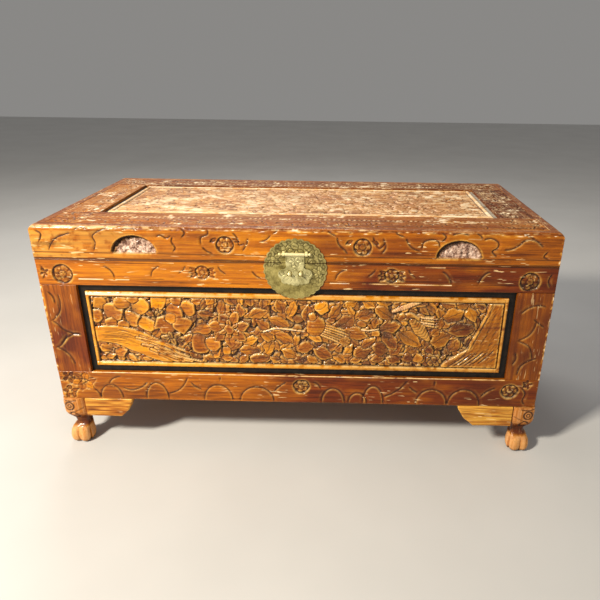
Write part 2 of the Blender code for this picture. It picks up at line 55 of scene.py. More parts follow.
# ---- the frame's own measures -----------------------------------------------------------
rail_low, rail_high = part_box("front_bottom_rail")
FRONT = rail_low[1]
SIDE = rail_high[0]
UNDERSIDE = rail_low[2]
SEAM = (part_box("front_top_rail")[1][2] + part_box("lid_front_rail")[0][2]) / 2
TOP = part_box("lid_front_rail")[1][2]
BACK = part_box("back_upper_board")[1][1]
THICK = rail_high[1] - FRONT                     # a frame board's thickness
PANEL_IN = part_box("front_panel")[0][1] - FRONT   # how far a panel lies behind the frame's face


def mm(metres):
    """Millimetres from metres."""
    return metres / MM


def span(node, axis):
    """A frame node's span along an axis in millimetres, z being from the carcass's underside."""
    low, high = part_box(node)
    k = "xyz".index(axis)
    zero = UNDERSIDE if axis == "z" else 0.0
    return mm(low[k] - zero), mm(high[k] - zero)


def toward(u, v, reach, degrees, squash=1.0):
    """The point that lies at a distance and direction from another."""
    a = math.radians(degrees)
    return u + reach * math.cos(a), v + squash * reach * math.sin(a)


WALL = (mm(-SIDE), mm(SIDE))
STILE = 65.0              # width of a corner stile


# ---- carving ----------------------------------------------------------------------------
def value_noise(u, v, cell, seed):
    """Smooth random numbers from 0 to 1 over the plane, with features about cell wide."""
    size = 128
    table = np.random.default_rng(seed).random((size, size))
    a, b = u / cell, v / cell
    i, j = np.floor(a).astype(int), np.floor(b).astype(int)
    s, t = a - i, b - j
    s, t = s * s * (3 - 2 * s), t * t * (3 - 2 * t)
    i, j = i % size, j % size
    k, m = (i + 1) % size, (j + 1) % size
    low = table[i, j] * (1 - s) + table[k, j] * s
    high = table[i, m] * (1 - s) + table[k, m] * s
    return low * (1 - t) + high * t


def eased(x, low, high):
    """0 below low, 1 above high, smooth between."""
    t = np.clip((x - low) / (high - low), 0, 1)
    return t * t * (3 - 2 * t)


def spaced(low, high, step, ease):
    """Grid lines from low to high, closer together near both ends."""
    near = [0.0, 0.25 * ease, 0.6 * ease, ease]
    middle = np.linspace(low + ease, high - ease, max(2, int((high - low - 2 * ease) / step)))
    return np.concatenate([[low + n for n in near[:-1]], middle,
                           [high - n for n in reversed(near[:-1])]])


def smooth_curve(points, per_span=6):
    """A Catmull-Rom curve through the points, with a few steps to each span."""
    p = np.array(points, float)
    p = np.vstack([2 * p[0] - p[1], p, 2 * p[-1] - p[-2]])
    out = []
    for a, b, c, d in zip(p, p[1:], p[2:], p[3:]):
        for t in np.arange(per_span) / per_span:
            out.append(0.5 * (2 * b + (c - a) * t + (2 * a - 5 * b + 4 * c - d) * t ** 2
                              + (3 * b - a - 3 * c + d) * t ** 3))
    out.append(p[-2])
    return np.array(out)


def blurred(h, cells):
    """A Gaussian blur of a grid, reflected at its borders."""
    reach = int(3 * cells) + 1
    kernel = np.exp(-0.5 * (np.arange(-reach, reach + 1) / cells) ** 2)
    kernel /= kernel.sum()
    for axis in (0, 1):
        pad = [(0, 0), (0, 0)]
        pad[axis] = (reach, reach)
        padded = np.pad(h, pad, mode="reflect" if h.shape[axis] > reach else "edge")
        h = np.apply_along_axis(lambda row: np.convolve(row, kernel, mode="valid"), axis, padded)
    return h


class Relief:
    """A carved face: height in millimetres, 0 at the board's surface and negative below it."""

    def __init__(self, u_span, v_span, step, ease=1.2, level=0.0, ground=-7.0):
        self.step = step * QUICK
        self.u = spaced(*u_span, self.step, ease)
        self.v = spaced(*v_span, self.step, ease)
        self.U, self.V = np.meshgrid(self.u, self.v)
        self.h = np.full_like(self.U, level)
        self.tone = np.full_like(self.U, 0.5)
        self.dust = np.zeros_like(self.U)
        self.line = np.zeros_like(self.U)
        self.glint_and_pale_wear = np.zeros_like(self.U)
        self.weather_and_sheen = np.zeros_like(self.U)
        self.stain_and_shade = np.zeros_like(self.U)
        self.ground = ground
        self.keep = np.ones_like(self.U)
        self.uneven = (np.zeros_like(self.U), np.zeros_like(self.U))

    def darken(self, amount, seed):
        """Darken unevenly, in cloudy patches: amount is a field from 0 to 1. It serves for old
        varnish gone dark and for painted shade, as toward the right and the back.
        """
        cloud = 0.55 + 0.90 * value_noise(self.U / 2.5, self.V, 14, seed)
        self.stain_and_shade = np.maximum(self.stain_and_shade, np.clip(amount * cloud, 0, 1))

    def wear_end(self, sign, seed):
        """Pale, chipped wear down the left (-1) or right (1) edge."""
        gap = self.U - self.u[0] if sign < 0 else self.u[-1] - self.U
        chips = value_noise(self.U, self.V, 3.6, seed) * np.exp(-((gap - 1.5) / 2.4) ** 2)
        self.glint_and_pale_wear = np.maximum(self.glint_and_pale_wear, np.clip(chips * 4 - 1.3, 0, 1.5))

    def hand_cut(self, amount, cell, seed):
        """Let the outlines laid from here on wander, as a carver's do."""
        self.uneven = tuple(2 * amount * (value_noise(self.U, self.V, cell, seed + k) - 0.5)
                            for k in (0, 1))

    def near(self, u, v, reach):
        """The part of the grid within reach of a point."""
        i = np.searchsorted(self.u, (u - reach, u + reach))
        j = np.searchsorted(self.v, (v - reach, v + reach))
        return slice(j[0], j[1]), slice(i[0], i[1])

    def local(self, where, u, v, turn):
        """Coordinates along and across a direction, from a point."""
        c, s = math.cos(math.radians(turn)), math.sin(math.radians(turn))
        du = self.U[where] - u + self.uneven[0][where]
        dv = self.V[where] - v + self.uneven[1][where]
        return du * c + dv * s, dv * c - du * s

    def lay(self, where, inside, top, edge=1.3, fall=1.1, moat=1.2, dig=2.4, tone=0.5):
        """Lay a shape over what is carved already, with a dug line round it.

        inside is the distance in from the shape's outline, negative outside it.
        """
        h, tones = self.h[where], self.tone[where]
        ring = (inside < 0) & (inside > -moat)
        dug = np.maximum(h - dig * (1 + inside / moat), self.ground - 0.4)
        h[ring] = dug[ring]
        rim = np.clip(1 - inside / edge, 0, 1)
        body = inside >= 0
        h[body] = np.minimum(top - fall * rim ** 2, -0.05)[body]
        tones[body] = tone
        self.line[where][inside > -moat] = 0
        self.glint_and_pale_wear[where][inside > -moat] = 0

    def follow(self, where, path):
        """Distances from a path, across it (signed) and along it, and its length."""
        U, V = self.U[where], self.V[where]
        best = np.full(U.shape, 1e9)
        across, run = np.zeros_like(U), np.zeros_like(U)
        starts = np.concatenate([[0], np.cumsum(np.hypot(*np.diff(path, axis=0).T))])
        for p, q, start in zip(path, path[1:], starts):
            d = q - p
            length = max(np.hypot(*d), 1e-6)
            t = np.clip(((U - p[0]) * d[0] + (V - p[1]) * d[1]) / length ** 2, 0, 1)
            du, dv = U - p[0] - t * d[0], V - p[1] - t * d[1]
            dist = np.hypot(du, dv)
            closer = dist < best
            best[closer] = dist[closer]
            across[closer] = (np.sign(d[0] * dv - d[1] * du) * dist)[closer]
            run[closer] = (start + t * length)[closer]
        return best, across, run, starts[-1]

    def leaf(self, u, v, length, width, turn, top=-1.2, tilt=0.6, tone=0.5, blunt=0.75,
             veins=True, cup=0.0, roll=0.0):
        """A leaf or petal, pointed at both ends, with a midrib; cup hollows its face."""
        where = self.near(u, v, 0.5 * length + 4)
        if self.h[where].size == 0:
            return
        a, b = self.local(where, u, v, turn)
        s = np.clip(a / length + 0.5, 0, 1)
        half = 0.5 * width * np.sin(np.pi * s ** 0.9) ** blunt
        past = np.maximum(np.abs(a) - length / 2, 0)
        inside = np.where(past > 0, -np.hypot(past, b), half - np.abs(b))
        across = np.clip(np.abs(b) / np.maximum(half, 0.5), 0, 1)
        surface = top + tilt * (2 * s - 1) - cup * (1 - across ** 2) \
            - (1.3 - 0.7 * min(cup, 1.2)) * across ** 2 + roll * b / max(0.5 * width, 1)
        if veins:
            surface -= 1.0 * np.exp(-(b / 0.8) ** 2) * (s < 0.88)
            rib = (a - np.abs(b) * 1.1) % (length / 4.5) - length / 9
            surface -= 0.40 * np.exp(-(rib / 0.8) ** 2) * (across > 0.15)
        self.lay(where, inside, surface, tone=tone)
        if veins:
            spine = np.exp(-(b / 0.8) ** 2) * (s > 0.06) * (s < 0.85) * (inside > 1)
            self.line[where] = np.maximum(self.line[where], 0.45 * spine)

    def disc(self, u, v, radius, squash=1.0, turn=0.0, top=-1.2, dome=1.2, dish=0.0, tone=0.5,
             edge=1.5):
        """A round or oval boss, domed or dished."""
        where = self.near(u, v, radius + 4)
        if self.h[where].size == 0:
            return
        a, b = self.local(where, u, v, turn)
        rho = np.hypot(a, b / squash) / radius
        inside = (1 - rho) * radius * min(1.0, squash)
        surface = top - dome * rho ** 2 - dish * np.exp(-(rho / 0.45) ** 2)
        self.lay(where, inside, surface, edge=edge, tone=tone)

    def flower(self, u, v, radius, petals, turn, top, heart, tone=0.5):
        """Petals round a ringed heart."""
        wide = min(radius * 0.78, 2.6 * radius / petals + 1)
        for k in range(petals):
            angle = turn + 360 * k / petals
            self.leaf(*toward(u, v, radius * 0.56, angle), radius * 0.92, wide, angle,
                      top=top - 0.5, tilt=0.5, blunt=0.6, tone=tone + 0.05 * (k % 2))
        self.disc(u, v, radius * heart, top=top + 0.3, dome=0.6, dish=1.0, edge=1.2, tone=tone)

    def rosette(self, u, v, radius, petals=6, turn=0.0, pocket=3.0, tone=0.3):
        """A round flower in a ring, sunk in a small pocket of a plain face."""
        where = self.near(u, v, radius + 6)
        a, b = self.local(where, u, v, turn)
        rho, angle = np.hypot(a, b), np.arctan2(b, a)
        h = self.h[where]
        sunk = np.clip((radius + 1.8 - rho) / 1.4, 0, 1)
        h -= pocket * sunk
        lobes = np.abs(np.sin(petals * angle / 2))
        swirl = np.abs(np.sin(petals * angle / 2 + 3.2 * rho / radius))
        reach = radius * (0.80 + 0.16 * lobes)
        inside = reach - rho
        surface = -0.5 - 2.1 * (1 - lobes) ** 1.5 * np.clip(rho / radius, 0, 1) \
            - 1.5 * np.exp(-((rho - 0.40 * radius) / 0.9) ** 2) - 0.7 * (rho / radius) ** 2 \
            - 0.9 * (1 - swirl) * (rho > 0.45 * radius)
        body = inside > 0
        rim = np.clip(1 - inside / 1.2, 0, 1)
        h[body] = (surface - 1.0 * rim ** 2)[body]
        self.tone[where][rho < radius + 1.8] = tone
        gap = np.exp(-((rho - radius - 0.2) / 1.1) ** 2)
        # Painted highlights: small glints scattered over the petals.
        glints = value_noise(self.U[where], self.V[where], 2.4, 90) * body
        self.glint_and_pale_wear[where] = np.maximum(self.glint_and_pale_wear[where], np.clip(glints * 5 - 3.2, 0, 1.4))
        cut = np.clip(1 - lobes * 3, 0, 1) * body * (rho > 0.42 * radius)
        core = np.exp(-((rho - 0.40 * radius) / 0.8) ** 2)
        marks = np.maximum(np.maximum(gap * 0.45, cut * 0.55), core * 0.6)
        self.line[where] = np.maximum(self.line[where], marks)

    def strip(self, points, widths, top=-0.8, round_off=1.6, streaks=0.0, bars=0.0, pitch=4.0,
              tone=0.5, seed=1, moat=1.8, pale=0.0):
        """A limb along a curve: a trunk with streaks along it, or a plume with bars across."""
        path = smooth_curve(points)
        centre = path.mean(axis=0)
        where = self.near(*centre, np.abs(path - centre).max() + max(widths) + 4)
        best, across, run, length = self.follow(where, path)
        half = np.interp(run / length, np.linspace(0, 1, len(widths)), np.array(widths) / 2)
        inside = half - best
        surface = top - round_off * np.clip(best / np.maximum(half, 0.5), 0, 1) ** 2.5
        if streaks:
            wander = across + 1.5 * value_noise(run, across, 14, seed)
            grain = value_noise(run / 9, wander, 1.6, seed + 1)
            surface -= streaks * np.clip((grain - 0.45) * 2.2, 0, 1)
        if bars:
            surface -= bars * np.exp(-(((run + 0.5 * np.abs(across)) % pitch - pitch / 2)
                                       / 0.8) ** 2)
        self.lay(where, inside, surface, edge=1.8, moat=moat, tone=tone)
        # pale lightens the limb; above 1 it adds a painted near-white glare.
        self.glint_and_pale_wear[where][inside > 0.4] = pale

    def incise(self, points, depth=1.9, width=1.3, slope=6.0, side=1):
        """A cut line, steep on one side and scooped away on the other."""
        path = smooth_curve(points)
        centre = (path.max(axis=0) + path.min(axis=0)) / 2
        where = self.near(*centre, np.abs(path - centre).max() + slope + 3)
        best, across, run, length = self.follow(where, path)
        taper = np.clip(np.minimum(run, length - run) / 5, 0.12, 1)
        steep = np.clip(1 - best / width, 0, 1)
        scoop = np.clip(1 - best / slope, 0, 1) ** 2
        self.h[where] -= depth * taper * np.where(side * across < 0, steep, scoop)
        mark = np.clip(1.3 - best / (0.45 + 0.26 * depth), 0, 1) * taper * min(depth / 1.7, 1)
        self.line[where] = np.maximum(self.line[where], mark)

    def patch(self, points, top, **how):
        """A shape with any outline, given by its corners; top(u, v) is its height."""
        outline = np.array(points, float)
        centre = (outline.max(axis=0) + outline.min(axis=0)) / 2
        where = self.near(*centre, np.abs(outline - centre).max() + 4)
        U, V = self.U[where], self.V[where]
        best = np.full(U.shape, 1e9)
        odd = np.zeros(U.shape, bool)
        for p, q in zip(outline, np.roll(outline, -1, axis=0)):
            d = q - p
            t = np.clip(((U - p[0]) * d[0] + (V - p[1]) * d[1]) / max(d @ d, 1e-9), 0, 1)
            best = np.minimum(best, np.hypot(U - p[0] - t * d[0], V - p[1] - t * d[1]))
            if p[1] != q[1]:
                odd ^= ((p[1] > V) != (q[1] > V)) \
                    & (U < d[0] * (V - p[1]) / (q[1] - p[1]) + p[0])
        self.lay(where, np.where(odd, best, -best), top(U, V), **how)

    def scatter(self, count, sizes, seed, top, share):
        """Small leaves and buds wherever that share of the ground is bare."""
        rng = np.random.default_rng(seed)
        for _ in range(count):
            u = rng.uniform(self.u[0] + 6, self.u[-1] - 6)
            v = rng.uniform(self.v[0] + 6, self.v[-1] - 6)
            size, turn, kind = rng.uniform(*sizes), rng.uniform(0, 360), rng.random()
            where = self.near(u, v, size * 0.42)
            patch = self.h[where]
            if patch.size == 0 or np.mean(patch < self.ground + 1.2) < share:
                continue
            height = top + rng.uniform(-0.8, 0.9)
            if kind < 0.62:
                self.leaf(u, v, size, size * rng.uniform(0.5, 0.68), turn, top=height,
                          tone=rng.uniform(0.3, 0.7))
            else:
                self.disc(u, v, size * 0.38, squash=rng.uniform(0.7, 1), turn=turn, top=height,
                          dish=0.8, tone=rng.uniform(0.3, 0.7))

    def roughen(self, amount, cell, seed):
        """Hand-tool unevenness."""
        self.h += (value_noise(self.U, self.V, cell, seed) - 0.5) * 2 * amount

    def soften_border(self, ease):
        """Round the board's own edges."""
        for line, shape in ((self.u, (1, -1)), (self.v, (-1, 1))):
            near = np.minimum(line - line[0], line[-1] - line).reshape(shape)
            self.h -= ease * (1 - np.sqrt(1 - (1 - np.clip(near / ease, 0, 1)) ** 2))

    def masks(self):
        """The masks that the finishes read: what is worked out from the relief, and what is drawn."""
        cells = 2.0 / self.step
        wide = blurred(self.h, cells)
        fine = blurred(self.h, 0.5 / self.step + 0.2)
        grime = np.clip((wide - fine - 0.08) / 0.9, 0, 1)
        worn_and_glint = np.clip((fine - wide - 0.05) / 0.6, 0, 1)
        deep = np.clip((-self.h - 3.0) / 2.4, 0, 1)
        # Upward-facing slopes go pale: settled dust, and painted light from above.
        climb = np.gradient(self.h, self.v, axis=0)
        ledge = np.clip((-climb - 0.30) / 0.9, 0, 1) * (1 - np.clip(-self.h / 9, 0, 0.6))
        clean = 1 - self.dust
        # Pale edge wear from the relief, with the drawn pale wear and painted glints laid over it.
        worn_and_glint = np.maximum(worn_and_glint * self.keep, self.glint_and_pale_wear)
        return {"grime": grime * clean, "worn_and_glint": worn_and_glint, "deep": deep * clean,
                "tone": self.tone, "dust": self.dust, "line": self.line * clean,
                "ledge": ledge * self.keep, "weather_and_sheen": self.weather_and_sheen, "stain_and_shade": self.stain_and_shade}


def store_mask(mesh, key, values):
    """Carry a mask on a mesh's points, for its finish."""
    layer = mesh.attributes.new(key, "FLOAT", "POINT")
    layer.data.foreach_set("value", np.asarray(values, np.float32))


def board_mesh(name, relief, outside, closing, finish, back_finish):
    """A closed board: the carved grid, and flat faces round and behind it.

    outside(u, v, depth) gives a world point; closing lists (v, depth) pairs of the unseen
    corners, from the grid's last line back to its first.
    """
    rows, columns = relief.h.shape
    u, v, depth = relief.U * MM, relief.V * MM, -np.minimum(relief.h, 0) * MM
    front = outside(u, v, depth).reshape(-1, 3)
    ends = (relief.u[0] * MM, relief.u[-1] * MM)
    corners = [outside(np.array(end), np.array(cv), np.array(cd)).reshape(3)
               for end in ends for cv, cd in closing]
    verts = np.vstack([front, corners])
    index = np.arange(rows * columns).reshape(rows, columns)
    quads = np.stack([index[:-1, :-1], index[:-1, 1:], index[1:, 1:], index[1:, :-1]], -1)
    faces = quads.reshape(-1, 4).tolist()
    carved = len(faces)
    left = [rows * columns + k for k in range(len(closing))]
    right = [k + len(closing) for k in left]
    faces.append(list(index[-1, :]) + [right[0], left[0]])
    for k in range(len(closing) - 1):
        faces.append([left[k], right[k], right[k + 1], left[k + 1]])
    faces.append([left[-1], right[-1]] + list(index[0, ::-1]))
    faces.append(list(index[:, 0]) + left)
    faces.append(list(index[::-1, -1]) + right[::-1])
    mesh = bpy.data.meshes.new(name)
    mesh.from_pydata(verts.tolist(), [], faces)
    mesh.update()
    bm = bmesh.new()
    bm.from_mesh(mesh)
    bmesh.ops.recalc_face_normals(bm, faces=bm.faces)
    bm.to_mesh(mesh)
    bm.free()
    mesh.materials.append(finish)
    mesh.materials.append(back_finish)
    smooth = np.zeros(len(faces), bool)
    smooth[:carved] = True
    mesh.polygons.foreach_set("use_smooth", smooth)
    slots = np.zeros(len(faces), int)
    slots[carved + 1:carved + len(closing)] = 1
    mesh.polygons.foreach_set("material_index", slots)
    for key, values in relief.masks().items():
        if key not in ("tone", "weather_and_sheen", "stain_and_shade"):
            values[[0, -1], :] = 0      # so that the flat faces round the grid stay clean
            values[:, [0, -1]] = 0
        blank = np.full(len(corners), 0.5 if key == "tone" else 0.0)
        store_mask(mesh, key, np.concatenate([values.reshape(-1), blank]))
    obj = bpy.data.objects.new(name, mesh)
    bpy.context.scene.collection.objects.link(obj)
    return obj


def settle(obj, body, slot, *nodes):
    """Tie a piece to its body and hide the frame nodes it stands for; slot is not used."""
    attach(obj, body)
    if nodes:
        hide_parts(*nodes)
    return obj


# ---- finishes ---------------------------------------------------------------------------
class Finish:
    """A node material, built a socket at a time."""

    def __init__(self, name):
        self.material = bpy.data.materials.new(name)
        self.material.use_nodes = True
        self.tree = self.material.node_tree
        self.shader = self.tree.nodes["Principled BSDF"]
        self.place = self.tree.nodes.new("ShaderNodeTexCoord").outputs["Object"]

    def put(self, socket, value):
        """Link a socket to an input, or set the input's own value."""
        if isinstance(value, bpy.types.NodeSocket):
            self.tree.links.new(value, socket)
        elif isinstance(value, tuple) and len(value) == 3 and socket.type == "RGBA":
            socket.default_value = (*value, 1.0)
        else:
            socket.default_value = value

    def set(self, **inputs):
        """Set the shader's inputs; underscores stand for spaces."""
        for key, value in inputs.items():
            self.put(self.shader.inputs[key.replace("_", " ")], value)

    def math(self, operation, a, b, clamp):
        """One math node, its result held between 0 and 1 by clamp."""
        node = self.tree.nodes.new("ShaderNodeMath")
        node.operation = operation
        node.use_clamp = clamp
        self.put(node.inputs[0], a)
        self.put(node.inputs[1], b)
        return node.outputs[0]

    def plus(self, a, b, clamp=False):
        """One value added to another."""
        return self.math("ADD", a, b, clamp)

    def minus(self, a, b, clamp=False):
        """One value taken from another."""
        return self.math("SUBTRACT", a, b, clamp)

    def times(self, a, b, clamp=False):
        """One value times another."""
        return self.math("MULTIPLY", a, b, clamp)

    def mix(self, share, a, b, blend="MIX"):
        """One colour mixed over another."""
        node = self.tree.nodes.new("ShaderNodeMix")
        node.data_type = "RGBA"
        node.blend_type = blend
        self.put(node.inputs[0], share)
        self.put(node.inputs[6], a)
        self.put(node.inputs[7], b)
        return node.outputs[2]

    def noise(self, scale, stretch=(1, 1, 1), detail=3.0, rough=0.55, warp=0.0, shift=0.0):
        """Noise over the piece, scale features to a metre, stretched by axis."""
        mapping = self.tree.nodes.new("ShaderNodeMapping")
        mapping.inputs["Scale"].default_value = stretch
        mapping.inputs["Location"].default_value = (shift, 0.37 * shift, 0.71 * shift)
        self.tree.links.new(self.place, mapping.inputs["Vector"])
        node = self.tree.nodes.new("ShaderNodeTexNoise")
        self.tree.links.new(mapping.outputs[0], node.inputs["Vector"])
        for key, value in (("Scale", scale), ("Detail", detail), ("Roughness", rough),
                           ("Distortion", warp)):
            node.inputs[key].default_value = value
        return node.outputs["Fac"]

    def along_axis(self, axis):
        """Where a point lies along X, Y or Z, in metres."""
        node = self.tree.nodes.new("ShaderNodeSeparateXYZ")
        self.tree.links.new(self.place, node.inputs[0])
        return node.outputs[axis]

    def band(self, value, low, high):
        """0 below low, 1 above high, smooth between."""
        node = self.tree.nodes.new("ShaderNodeMapRange")
        node.interpolation_type = "SMOOTHSTEP"
        self.put(node.inputs["Value"], value)
        node.inputs["From Min"].default_value = low
        node.inputs["From Max"].default_value = high
        return node.outputs["Result"]

    def ramp(self, value, stops):
        """A colour ramp from (place, colour) pairs."""
        node = self.tree.nodes.new("ShaderNodeValToRGB")
        self.put(node.inputs[0], value)
        elements = node.color_ramp.elements
        while len(elements) < len(stops):
            elements.new(0.5)
        for element, (place, colour) in zip(elements, stops):
            element.position = place
            element.color = (*colour, 1.0)
        return node.outputs["Color"]

    def carried(self, name):
        """A value carried by the mesh, such as where dirt gathers."""
        node = self.tree.nodes.new("ShaderNodeAttribute")
        node.attribute_name = name
        return node.outputs["Fac"]

    def bump(self, height, depth, strength=1.0):
        """A bump of a depth in metres."""
        node = self.tree.nodes.new("ShaderNodeBump")
        node.inputs["Strength"].default_value = strength
        node.inputs["Distance"].default_value = depth
        self.put(node.inputs["Height"], height)
        self.put(self.shader.inputs["Normal"], node.outputs["Normal"])


def along(grain, with_it, across):
    """Stretch for streaks along one axis."""
    return tuple(with_it if axis == grain else across for axis in "xyz")


DRY_SHEEN = ((0.050, 0.010, 0.003), (0.200, 0.052, 0.010), (0.440, 0.180, 0.045))
DRY_SHEEN_PANEL = ((0.150, 0.046, 0.010), (0.430, 0.180, 0.055), (0.740, 0.470, 0.220))


def wood(name, grain, dark, mid, light, carved=True, coat=0.20, rough=0.42, dashes=0.7,
         redden=0.4, dry_sheen_top=True, gloss_level=0.20, aged=DRY_SHEEN):
    """Varnished wood: grain along an axis, dirt in the hollows, pale wear and painted highlights on
    the edges, painted shade to the right, painted sheen on top faces.
    """
    f = Finish(name)
    streak = f.noise(1.0, along(grain, 9, 210), detail=5, rough=0.62, warp=0.35)
    bands = f.noise(1.0, along(grain, 2.4, 30), detail=3, warp=0.6, shift=3.1)
    pores = f.noise(1.0, along(grain, 45, 1100), detail=2, shift=7.7)
    patches = f.noise(6.0, detail=3, shift=1.9)
    value = f.plus(f.times(streak, 0.62), f.times(bands, 0.55))
    value = f.plus(value, f.times(patches, 0.30))
    if carved:
        lean = f.times(f.minus(f.carried("tone"), 0.5), 0.55)
        value = f.plus(value, lean)
    value = f.minus(value, 0.23)
    colour = f.ramp(value, [(0.32, dark), (0.52, mid), (0.74, light)])
    deep_red = (0.125, 0.024, 0.004)
    # Ruddy patches, and a painted shade that turns the colour darker and redder toward the right end.
    ruddy = f.times(f.band(patches, 0.45, 0.64), redden)
    right = f.times(f.band(f.along_axis("X"), -0.10, 0.60), 0.6 * redden)
    colour = f.mix(f.plus(ruddy, right, clamp=True), colour, deep_red)
    pore_lines = f.times(f.band(pores, 0.57, 0.70), 0.45)
    colour = f.mix(pore_lines, colour, tuple(0.35 * c for c in dark))
    gloss = f.plus(rough, f.times(streak, 0.12))
    if carved:
        speck = f.noise(1.0, (330, 330, 330), detail=3, shift=5.3)
        blot = f.noise(1.0, (75, 75, 75), detail=3, shift=2.3)
        deep, weather_and_sheen = f.carried("deep"), f.carried("weather_and_sheen")
        # On top faces the colour turns to a dry finish with painted sheen, from the palette aged.
        if dry_sheen_top:
            dry_sheen = f.ramp(value, list(zip((0.25, 0.5, 0.8), aged)))
            colour = f.mix(f.times(weather_and_sheen, 0.9), colour, dry_sheen)
        # Old varnish gone dark, and painted shade, multiply the colour darker and redder.
        colour = f.mix(f.carried("stain_and_shade"), colour, (0.36, 0.20, 0.12), blend="MULTIPLY")
        # Pale wear and painted highlights lighten the edges to pale amber; past 1 the mark gives a
        # painted near-white glare.
        worn_and_glint = f.times(f.carried("worn_and_glint"), f.band(blot, 0.28, 0.55))
        colour = f.mix(f.times(worn_and_glint, 0.50, clamp=True), colour,
                       (0.88, 0.47, 0.08))
        glare = f.minus(f.carried("worn_and_glint"), 1.0, clamp=True)
        colour = f.mix(f.times(glare, 0.9), colour, (0.97, 0.88, 0.76))
        grime = f.times(f.carried("grime"), 1.5, clamp=True)
        colour = f.mix(f.times(grime, 0.88), colour, (0.032, 0.009, 0.003))
        colour = f.mix(f.times(deep, 0.80), colour, (0.055, 0.020, 0.010))
        settled = f.times(deep, f.band(speck, 0.54, 0.66))
        colour = f.mix(f.times(settled, 0.62), colour, (0.40, 0.26, 0.14))
        # Upward-facing slopes paler: settled dust, and painted light from above.
        pale = f.times(f.carried("ledge"), f.band(blot, 0.36, 0.56))
        colour = f.mix(f.times(pale, 0.80), colour, (0.82, 0.54, 0.22))
        colour = f.mix(f.times(f.carried("line"), 0.80), colour,
                       (0.020, 0.007, 0.003))
        # On the tops: dusty patches, and cream on the raised edges, partly dust and partly painted
        # highlight.
        if dry_sheen_top:
            both = f.plus(f.times(blot, 0.5), f.times(speck, 0.5))
            film = f.times(weather_and_sheen, f.band(both, 0.50, 0.60))
            colour = f.mix(f.times(film, 0.45), colour, (0.60, 0.36, 0.17))
            lips = f.times(weather_and_sheen, f.carried("worn_and_glint"))
            lips = f.times(lips, f.band(blot, 0.36, 0.54), clamp=True)
            colour = f.mix(f.times(lips, 0.85), colour, (0.86, 0.71, 0.50))
        flecks = f.noise(1.0, along(grain, 38, 330), detail=1, shift=11.0)
        where = f.noise(1.0, along(grain, 9, 22), detail=2, shift=13.0)
        flecks = f.times(f.band(flecks, 0.66, 0.70), f.band(where, 0.46, 0.58))
        flecks = f.times(flecks, f.minus(dashes, deep, clamp=True))
        colour = f.mix(flecks, colour, (0.90, 0.63, 0.30))
        rough_dust = f.ramp(f.plus(f.times(blot, 0.55),
                                   f.times(speck, 0.45)),
                            [(0.42, (0.130, 0.060, 0.040)), (0.51, (0.44, 0.28, 0.20)),
                             (0.62, (0.80, 0.62, 0.50))])
        colour = f.mix(f.carried("dust"), colour, rough_dust)
        gloss = f.plus(gloss, f.times(deep, 0.35))
        gloss = f.plus(gloss, f.times(f.carried("dust"), 0.4))
        relief = f.plus(f.times(streak, 0.6), f.times(speck, 0.4))
    else:
        relief = f.plus(f.times(streak, 0.7), f.times(pores, 0.3))
    f.set(Base_Color=colour, Roughness=gloss, Coat_Weight=coat, Coat_Roughness=0.14,
          Specular_IOR_Level=gloss_level)
    f.bump(relief, 0.0005, 0.5)
    return f.material


def brass(name, dull, bright, carved=True, rough=0.34, metal=0.7):
    """Old brass: bright where it is rubbed, olive and brown where it isn't."""
    f = Finish(name)
    cloud = f.noise(60, detail=4)
    fine = f.noise(420, detail=3, shift=4.0)
    value = f.plus(f.times(cloud, 0.7), f.times(fine, 0.3))
    colour = f.ramp(value, [(0.36, dull), (0.60, bright)])
    if carved:
        grime = f.times(f.carried("grime"), 1.2, clamp=True)
        colour = f.mix(f.times(grime, 0.85), colour, (0.050, 0.036, 0.012))
        # Bright rubbed brass, and the hasp's painted highlight on its knuckle.
        colour = f.mix(f.times(f.carried("worn_and_glint"), 0.6), colour, (0.86, 0.76, 0.42))
        colour = f.mix(f.times(f.carried("line"), 0.72), colour,
                       (0.060, 0.045, 0.016))
    gloss = f.plus(rough, f.times(fine, 0.22))
    f.set(Base_Color=colour, Roughness=gloss, Metallic=metal)
    f.bump(fine, 0.00012, 0.5)
    return f.material


def blackened(name, sheen=False):
    """Blackening over wood, brown where it has rubbed thin; with sheen, a painted pale glare lies on
    the top of its right end.
    """
    f = Finish(name)
    rub = f.noise(70, detail=4)
    chips = f.noise(520, detail=2, shift=6.0)
    colour = f.ramp(rub, [(0.35, (0.004, 0.003, 0.0025)), (0.75, (0.018, 0.013, 0.009))])
    colour = f.mix(f.times(f.band(chips, 0.70, 0.76), 0.6), colour,
                   (0.22, 0.14, 0.08))
    if sheen:
        # Painted reflection: a pale glare on the upper face of the moulding's right end.
        painted_glare = f.times(f.band(f.along_axis("X"), 0.315, 0.345),
                       f.band(rub, 0.25, 0.5))
        painted_glare = f.times(painted_glare, f.band(f.along_axis("Z"), TOP - 0.010, TOP - 0.007))
        colour = f.mix(f.times(painted_glare, 0.8), colour, (0.50, 0.43, 0.33))
    f.set(Base_Color=colour, Roughness=f.plus(0.38, f.times(rub, 0.25)),
          Specular_IOR_Level=0.25)
    f.bump(chips, 0.0003, 0.4)
    return f.material


AMBER = ((0.090, 0.016, 0.001), (0.450, 0.124, 0.001), (0.800, 0.290, 0.003))
GOLD = ((0.078, 0.013, 0.001), (0.315, 0.079, 0.001), (0.700, 0.262, 0.002))
CAMPHOR = ((0.200, 0.090, 0.038), (0.390, 0.205, 0.095), (0.550, 0.330, 0.170))
FOOT = ((0.200, 0.040, 0.003), (0.640, 0.230, 0.018), (0.950, 0.500, 0.070))
PAW = ((0.120, 0.024, 0.003), (0.460, 0.145, 0.010), (0.860, 0.430, 0.170))

